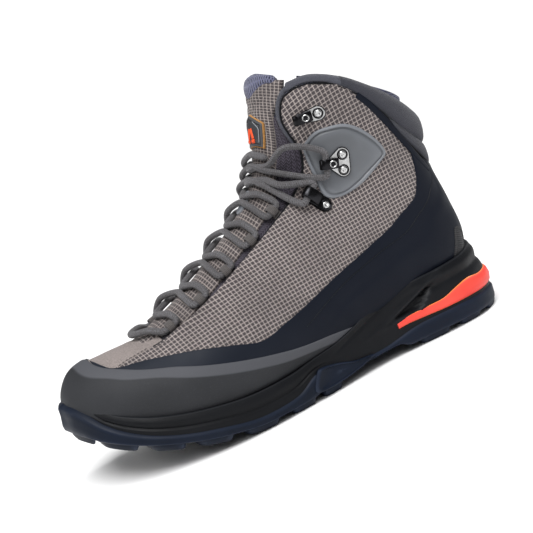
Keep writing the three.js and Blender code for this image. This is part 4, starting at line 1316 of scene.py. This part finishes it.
def build_loops(name, side):
    for i, (u, q) in enumerate(LOOPS):
        where = place_on(u, q, LOOP_DEPTH, side)
        angle = np.linspace(0, 2 * np.pi, 33)
        path = np.column_stack([(LACE_RADIUS + 1.2) * np.cos(angle), np.zeros(33),
                                (LACE_RADIUS + 0.9) * np.sin(angle)])
        section = [(-0.4, -2.3), (0, -2.6), (0.4, -2.3), (0.4, 2.3), (0, 2.6), (-0.4, 2.3)]
        ups = np.repeat([[0.0, 1.0, 0.0]], 33, 0)
        tail = np.array([[-3, 0, -2.2], [-6, 0, -2.0], [-9, 0, -1.6]], float)
        tab = [(-3, -0.3), (3, -0.3), (3, 0.3), (-3, 0.3)]
        parts = [moved(sweep(path, section, ups), where),
                 moved(sweep(along(tail, 1.5), tab), where)]
        node = "lace_loop_%s_%d" % (name, i + 1)
        place(gathered(node + "_webbing", parts), "webbing", replaced=[node])


def eye_of(hook, at, side, offset):
    return put((9, offset, LACE_RADIUS + 1.7), hook_place(hook, at, side))


def lace_half(start, over):
    """Half of the lace, from the first loop on one side up to its tucked end."""
    points = []
    side = start

    def at(u, q, depth):
        points.append(skin(u, q if side < 0 else 2 - q, depth))

    def leg(u, tip):
        """From one side to the top of the foot, listed from the side; the outer leg is longer."""
        if side > 0:
            return [(u, 1.16, LACE_UNDER)]
        return [(u, 0.88, 4.2), (mix(u, tip, 0.6), 0.945, 4.4), (tip, 1.0, 4.4)]

    def cross(a, b, turn):
        """Leaves one side at a, crosses over the top of the foot and reaches the other at b."""
        nonlocal side
        depth = LACE_OVER if (turn + over) % 2 else LACE_UNDER
        path = leg(a, a - 0.016)
        path.append((mix(a, b, 0.5), 1.11, depth))
        side = -side
        path += leg(b, b + 0.004)[::-1]
        for u, v, out in path:
            points.append(skin(u, v, out))

    for i, (u, q) in enumerate(LOOPS):
        where = place_on(u, q, LOOP_DEPTH, side)
        points += [put((0, offset, 0), where) for offset in (-5, 0, 5)]
        following = LOOPS[i + 1][0] if i + 1 < len(LOOPS) else LOWER_HOOK[0] - 0.005
        cross(u + 0.016, following - 0.016, i)
    for i, (hook, place_uq, following) in enumerate((("hook_lower", LOWER_HOOK, 0.69),
                                                    ("hook_middle", MIDDLE_HOOK, 0.722))):
        points += [eye_of(hook, place_uq, side, offset) for offset in (-7.5, 0, 7.5)]
        at(place_uq[0] - 0.01, 0.8, 7)
        cross(following - 0.01, following + 0.01, i + 1)
    return points


def centripetal(points, count):
    """Centripetal Catmull-Rom curve through points, as the CAD tube follows it."""
    points = np.asarray(points, float)
    points = np.vstack([2 * points[0] - points[1], points, 2 * points[-1] - points[-2]])
    result = []
    for i in range(1, len(points) - 2):
        p0, p1, p2, p3 = points[i - 1:i + 3]
        d0, d1, d2 = (max(np.linalg.norm(b - a) ** 0.5, 1e-6)
                      for a, b in ((p0, p1), (p1, p2), (p2, p3)))
        t1 = ((p1 - p0) / d0 - (p2 - p0) / (d0 + d1) + (p2 - p1) / d1) * d1
        t2 = ((p2 - p1) / d1 - (p3 - p1) / (d1 + d2) + (p3 - p2) / d2) * d1
        for t in np.linspace(0, 1, count, endpoint=False):
            result.append((2 * t**3 - 3 * t**2 + 1) * p1 + (t**3 - 2 * t**2 + t) * t1
                          + (3 * t**2 - 2 * t**3) * p2 + (t**3 - t**2) * t2)
    result.append(points[-2])
    return np.array(result)


def build_lace():
    toe = [skin(0.30, 0.9, 4.2), skin(0.272, 0.97, 4.2), skin(0.272, 1.03, 4.2), skin(0.30, 1.1, 4.2)]
    route = lace_half(-1, 0)[::-1] + toe + lace_half(1, 1)
    line = along(centripetal(route, 14), 1.3)
    ends = np.minimum(np.arange(len(line)), np.arange(len(line))[::-1])
    size = np.sqrt(np.clip(ends / 2.0, 0.05, 1))
    lace = gathered("lace_cord_piece", [sweep(line, circle(LACE_RADIUS, 14, 0.92), None, size)])
    place(lace, "lace_cord", replaced=["lace"])


# ---------------------------------------------------------------- the sole

SOLE_TABLE = np.column_stack([np.linspace(0, 1, len(SOLE)), SOLE])
GROUND, EDGE, CRADLE = 4, 5, 6
AROUND = 150


def sole_outline():
    """Stations round the sole, the outer side first: their place in plan, way out and heights."""
    s = 0.5 - 0.5 * np.cos(np.pi * np.linspace(0, 1, AROUND + 1))
    s = mix(s, np.linspace(0, 1, AROUND + 1), 0.75)
    rows = track(SOLE_TABLE, s)
    plan = np.vstack([rows[:, :2], rows[-2:0:-1, 2:4]])
    heights = np.vstack([rows, rows[-2:0:-1]])
    station = np.r_[s, s[-2:0:-1]]
    way = unit(np.roll(plan, -1, 0) - np.roll(plan, 1, 0))
    out = np.column_stack([way[:, 1], -way[:, 0]])
    return station, plan, out, heights


STATION, PLAN, OUT, HEIGHTS = sole_outline()
TOE_END = 1 - smooth(STATION, 0.0, 0.28)
HEEL_END = smooth(STATION, 0.72, 0.95)


def ring_at(offset, height):
    plan = PLAN + OUT * np.asarray(offset)[:, None]
    return np.column_stack([plan, height])


def folded(ring):
    """The ring's points moved onto the line halfway between its two sides."""
    other = np.roll(ring[::-1], 1, 0)
    return (ring + other) / 2


def ring_mesh(name, rings, sharp=40, uv=None):
    rings = [folded(rings[0]), *rings, folded(rings[-1])]
    count = len(rings[0])
    points = np.vstack(rings)
    faces = quads(len(rings), count, wrap_cols=True)
    if uv is None:
        reached = np.r_[0, np.cumsum(np.linalg.norm(np.diff(PLAN, axis=0), axis=1))]
        uv = np.vstack([np.column_stack([reached, ring[:, 2]]) for ring in rings]) / 1000
    return mesh_object(name, points, faces, uv, sharp)


def wall_offset(share):
    """How far the sole's side wall stands out at a share of the way from ground to edge."""
    toe = TOE_END
    low = mix(-3 + toe * 2, -0.4 + toe * 3.4, smooth(share, 0, 0.35))
    return mix(low, toe * 1.5 - 0.2, smooth(share, 0.3, 0.85))


def edge_height():
    return HEIGHTS[:, EDGE]


def build_outsole_shell():
    """The outsole's wall with a bevelled upper edge, down to the plane the lugs grow from."""
    ground, edge = HEIGHTS[:, GROUND], edge_height()
    base = np.maximum(ground + 4.2, 4.2) - 1.6 * HEEL_END
    x = PLAN[:, 0]
    arch = smooth(x, -14, 2) * smooth(x, 68, 58)
    base = base + 3.8 * arch
    base = np.minimum(base, edge - 3.0)
    ring = [ring_at(-14 + 0 * x, base + 0.6), ring_at(-2.2 + 0 * x, base)]
    for share in (0.02, 0.12, 0.3, 0.5, 0.7):
        height = mix(base, edge - 2.2, share)
        ring.append(ring_at(wall_offset((height - ground) / (edge - ground)) - 0.5 * (share < 0.1),
                            height))
    toe = TOE_END * 2.0
    ring.append(ring_at(wall_offset(0.9) + 0.1, edge - 2.2))
    ring.append(ring_at(wall_offset(0.95) - 0.3 - toe * 0.2, edge - 1.3))
    ring.append(ring_at(wall_offset(1.0) - 1.6 - toe, edge - 0.3))
    ring.append(ring_at(wall_offset(1.0) - 2.4 - toe, edge))
    ring.append(ring_at(-7 - toe * 2, edge - 1.2))
    ring.append(ring_at(-12 - toe, edge - 2.5))
    shell = ring_mesh("outsole_shell", ring)
    place(shell, "outsole_rubber", replaced=["outsole"])


def sole_point(s, w, offset=0.0):
    """A plan point from the share along the sole and -1..1 across it, outer side first."""
    rows = track(SOLE_TABLE, s)
    t = (np.asarray(w) + 1) / 2
    outer, inner = rows[..., :2], rows[..., 2:4]
    way = unit(inner - outer)
    outer, inner = outer - way * offset, inner + way * offset
    return mix(outer, inner, t[..., None]), rows


def lug_part(s, w, slant=0.0):
    """One tread block between two shares along and two across, with its corners cut."""
    (s0, s1), (w0, w1) = s, w
    corners = [(0.0, 0.18), (0.0, 0.82), (0.1, 1.0), (0.9, 1.0), (1.0, 0.82), (1.0, 0.18),
               (0.9, 0.0), (0.1, 0.0)]
    dense = along(np.array(corners + corners[:1]), 0.16)[:-1]
    share_s, share_w = dense[:, 0], dense[:, 1]
    rings = []
    for inset, lift in ((0.0, 6.4), (0.0, 3.0), (0.04, 0.7), (0.1, 0.0)):
        a = 0.5 + (share_s - 0.5) * (1 - 2 * inset)
        b = 0.5 + (share_w - 0.5) * (1 - inset)
        across = mix(w0, w1, b)
        at = mix(s0, s1, a) + slant * np.abs(across)
        offset = -3.0 + 2.6 * smooth(lift, 0, 5)
        plan, rows = sole_point(at, across, offset)
        ground = np.maximum(rows[..., GROUND], 0)
        rings.append(np.column_stack([plan, ground + lift]))
    count = len(dense)
    points = np.vstack(rings)
    faces = tube_faces(4, count)
    return points, faces, points[:, :2] / 1000


def build_lugs():
    """Tread blocks in rows: a block on each edge and a pair of slanted ones between them."""
    parts = []
    forefoot = [(0.03, 0.10), (0.115, 0.19), (0.21, 0.27), (0.29, 0.35), (0.37, 0.43),
                (0.45, 0.51), (0.53, 0.575)]
    heel = [(0.735, 0.79), (0.81, 0.86), (0.88, 0.93), (0.945, 0.985)]
    for start, end in forefoot + heel:
        for w in ((-1.0, -0.52), (0.52, 1.0)):
            parts.append(lug_part((start, end), w, 0.0))
        for w in ((-0.42, -0.04), (0.04, 0.42)):
            parts.append(lug_part((start - 0.005, end - 0.012), w, 0.02))
    place(gathered("outsole_lugs", parts), "outsole_rubber")


def triangle_depth(x, z, corners):
    """Distance inside a triangle, negative outside it."""
    inside = np.full(np.shape(x), 1e9)
    for (ax, az), (bx, bz) in zip(corners, corners[1:] + corners[:1]):
        length = math.hypot(bx - ax, bz - az)
        inside = np.minimum(inside, ((bx - ax) * (z - az) - (bz - az) * (x - ax)) / length)
    return inside


RECESS = [(58.6, 24.0), (82.0, 23.6), (96.5, 37.0)]


def midsole_relief(x, z, edge, top):
    """Ridges and hollows of the midsole's side, in millimetres out of its plain wall."""
    share = (z - edge) / (top - edge)
    front = 1 - smooth(x, -20, 20)
    line_one = ridge(share, 0.42, 0.06) * 0.9 * front
    roll = 0.9 * np.sin(np.pi * np.clip((share - 0.5) / 0.5, 0, 1)) * front
    depth = triangle_depth(x, z, RECESS)
    hollow = -4.2 * smooth(depth, -0.4, 1.6) * smooth(x, 57, 68)
    rim = 0.8 * ridge(depth, -2.0, 1.3)
    sweep_line = z - (24 + 0.26 * (x - 10) + 3 * smooth(x, 20, 110))
    heel = smooth(x, 5, 35)
    ridges = heel * (ridge(sweep_line, 2.5, 1.8) - 0.8 * ridge(sweep_line, -1.8, 1.0))
    upper = 1.3 * smooth(x, 60, 95) * ridge(share, 0.86, 0.1)
    notch = -0.9 * smooth(x, 86, 96) * ridge(share, 0.66, 0.06)
    return -line_one + roll + hollow + rim + ridges + upper + notch


def build_midsole():
    edge, top = edge_height() - 1.4, HEIGHTS[:, CRADLE]
    x = PLAN[:, 0]
    plain_top = -3 - TOE_END * 2.5 - HEEL_END * 3.5
    rings = [ring_at(-9 + 0 * x, edge)]
    for share in np.linspace(0, 1, 34):
        height = mix(edge, top, share)
        plain = mix(-1.5 - TOE_END * 1.5, plain_top, smooth(share, 0.1, 1.0))
        bulge = 1.2 * math.sin(math.pi * share) * HEEL_END
        rings.append(ring_at(plain + bulge + midsole_relief(x, height, edge, top), height))
    rings.append(ring_at(plain_top - 1.2, top + 0.5))
    rings.append(ring_at(plain_top - 4.5, top - 0.4))
    midsole = ring_mesh("midsole_foam", rings, 50)
    place(midsole, "midsole_eva", replaced=["midsole"])


def build_strip():
    """The coral band that wraps the heel, thicker towards the back."""
    around = [i for i in range(len(PLAN)) if PLAN[i, 0] > 62]
    x = PLAN[around, 0]
    top = track(np.array([(62, 21.5), (66, 22.4), (87, 23.4), (101, 24), (113, 27), (125, 29),
                          (138, 27.5), (151, 28), (158, 29)], float), x)[:, 0]
    low = track(np.array([(62, 17.5), (66, 17.8), (85, 17.4), (101, 16.6), (120, 15.9),
                          (138, 15.3), (158, 15.0)], float), x)[:, 0]
    swell = 0.6 + 1.4 * smooth(x, 90, 130)
    shares = [0, 0.06, 0.2, 0.5, 0.8, 0.94, 1]
    bulge = [-1.2, -0.1, 0.6, 1.0, 0.6, -0.1, -1.2]
    rings = []
    for share, out in [(0, -6), *zip(shares, bulge), (1, -6)]:
        height = mix(low, top, share)
        offset = np.where(out < -2, -6.0, -1.2 + out * swell)
        rings.append(np.column_stack([PLAN[around] + OUT[around] * offset[:, None], height]))
    points = np.array(rings)
    rows, cols = points.shape[:2]
    faces = quads(rows, cols, wrap_rows=True)
    faces.append(tuple(i * cols for i in range(rows)))
    faces.append(tuple(i * cols + cols - 1 for i in range(rows - 1, -1, -1)))
    across = np.array([0, *shares, 1])
    uv = np.stack(np.broadcast_arrays(np.arange(cols)[None] * 0.001, across[:, None]), -1)
    strip = mesh_object("heel_strip_foam", points.reshape(-1, 3), faces, uv.reshape(-1, 2))
    place(strip, "strip_foam", replaced=["heel_strip"])


def build_arch_plate():
    """The raised wing on each side under the arch, with a plain recessed panel."""
    outline = [(-12, 7), (-7, 17.5), (-2, 19.5), (10, 17), (24, 12.5), (38, 10.5), (34, 8.5),
               (20, 6.0), (2, 5.0)]
    line = through(outline, 60, closed=True)
    middle = line.mean(0)
    for name, side in SIDES:
        rings = []
        for share, out in ((1.0, -3.0), (1.0, 0.6), (0.94, 1.3), (0.86, 1.4), (0.8, 0.7),
                           (0.3, 0.7), (0.05, 0.7)):
            ring = middle + (line - middle) * share
            rings.append(side_points(ring, side, out))
        count = len(line)
        points = np.vstack(rings)
        faces = tube_faces(len(rings), count)
        wing = mesh_object("arch_wing_" + name, points, faces, points[:, ::2] / 1000)
        place(wing, "outsole_rubber")


def side_points(flat, side, out):
    """Points (x, z) of the sole's side wall, moved out of it."""
    half = slice(0, AROUND + 1)
    if side < 0:
        xs, ys = PLAN[half, 0], PLAN[half, 1]
    else:
        xs = np.r_[PLAN[0, 0], PLAN[AROUND:, 0][::-1]]
        ys = np.r_[PLAN[0, 1], PLAN[AROUND:, 1][::-1]]
    order = np.argsort(xs)
    y = np.interp(flat[:, 0], xs[order], ys[order])
    return np.column_stack([flat[:, 0], y + side * (out - 0.5), flat[:, 1]])


# ---------------------------------------------------------------- what is carried over from CAD


def carry_over():
    """Stiffeners hidden in the boot keep their CAD shape and get their own material."""
    kept = {"shank": "shank_steel", "lasting_board": "board", "toe_puff": "board",
            "heel_counter": "board"}
    for node, material in kept.items():
        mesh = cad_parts[node].data
        mesh.materials.clear()
        mesh.materials.append(MATERIALS[material])


# ---------------------------------------------------------------- stage, light and camera


FLOOR_REACH = 6.0
SKY_ON_BOOT = 0.2
SKY_IN_VIEW = 1.2


def build_stage():
    mesh = bpy.data.meshes.new("floor")
    size = FLOOR_REACH
    mesh.from_pydata([(-size, -size, 0), (size, -size, 0), (size, size, 0), (-size, size, 0)], [],
                     [(0, 1, 2, 3)])
    floor = linked("floor", mesh)
    paint = Paint("floor_paper", 0.9)
    tone = paint.mixed(paint.ease(paint.noise(3, 2), 0.3, 0.7), (0.93, 0.93, 0.93),
                       (0.95, 0.95, 0.95))
    mesh.materials.append(paint.done(tone))
    world = bpy.data.worlds.new("studio")
    bpy.context.scene.world = world
    world.use_nodes = True
    background = world.node_tree.nodes["Background"]
    background.inputs["Color"].default_value = (1, 1, 1, 1)
    rays = world.node_tree.nodes.new("ShaderNodeLightPath")
    seen = world.node_tree.nodes.new("ShaderNodeMapRange")
    seen.inputs["To Min"].default_value = SKY_ON_BOOT
    seen.inputs["To Max"].default_value = SKY_IN_VIEW
    world.node_tree.links.new(rays.outputs["Is Camera Ray"], seen.inputs["Value"])
    world.node_tree.links.new(seen.outputs[0], background.inputs["Strength"])


def area_light(name, position, target, size, power, colour=(1, 1, 1)):
    light = bpy.data.lights.new(name, "AREA")
    light.shape = "DISK"
    light.size = size
    light.energy = power
    light.color = colour
    obj = linked(name, light)
    obj.location = position
    way = Vector(target) - Vector(position)
    obj.rotation_euler = way.to_track_quat("-Z", "Y").to_euler()


def build_lights():
    middle = (0.0, 0.0, 0.1)
    area_light("key", (-0.35, -1.3, 0.9), middle, 0.7, 4)
    area_light("rim", (0.9, 0.3, 0.9), middle, 0.5, 5)
    area_light("front", (-1.2, 0.2, 0.7), middle, 0.6, 3)
    sun = bpy.data.lights.new("sun", "SUN")
    sun.energy = 3.3
    sun.angle = math.radians(40)
    overhead = linked("sun", sun)
    overhead.rotation_euler = (math.radians(24), math.radians(-14), 0)


CAMERA_TARGET = Vector((0.002, 0.0029, 0.095))
CAMERA_AZIMUTH = math.radians(-18.68)
CAMERA_ELEVATION = math.radians(8.35)
CAMERA_ROLL = math.radians(20.94)
CAMERA_DISTANCE = 0.8
CAMERA_LENS = 80.95
CAMERA_SENSOR = 36
CAMERA_SHIFT = (0.0181, -0.0190)


def build_camera():
    """The camera looks at the outer side from a little towards the toe, and is rolled."""
    back = Vector((math.sin(CAMERA_AZIMUTH) * math.cos(CAMERA_ELEVATION),
                   -math.cos(CAMERA_AZIMUTH) * math.cos(CAMERA_ELEVATION),
                   math.sin(CAMERA_ELEVATION)))
    level = (-back).cross(Vector((0, 0, 1))).normalized()
    up = level.cross(-back)
    right = level * math.cos(CAMERA_ROLL) - up * math.sin(CAMERA_ROLL)
    rolled_up = level * math.sin(CAMERA_ROLL) + up * math.cos(CAMERA_ROLL)
    camera = linked("camera", bpy.data.cameras.new("camera"))
    axes = Matrix((right, rolled_up, back)).transposed().to_4x4()
    camera.matrix_world = Matrix.Translation(CAMERA_TARGET + back * CAMERA_DISTANCE) @ axes
    camera.data.lens = CAMERA_LENS
    camera.data.sensor_width = CAMERA_SENSOR
    camera.data.shift_x, camera.data.shift_y = CAMERA_SHIFT
    bpy.context.scene.camera = camera


# ---------------------------------------------------------------- the boot


def build_boot():
    build_outsole_shell()
    build_lugs()
    build_arch_plate()
    build_midsole()
    build_strip()
    build_vamp()
    build_rand()
    build_heel_panel()
    build_inner_boot()
    build_footbed()
    build_collar()
    build_tongue()
    build_badge()
    build_keeper()
    build_lace()
    for name, side in SIDES:
        build_quarter(name, side)
        build_overlay(name, side)
        build_ankle_patch(name, side)
        build_gusset(name, side)
        build_hooks(name, side)
        build_loops(name, side)
    carry_over()


build_stage()
build_lights()
build_camera()
build_boot()
bpy.context.scene.view_settings.view_transform = "Standard"
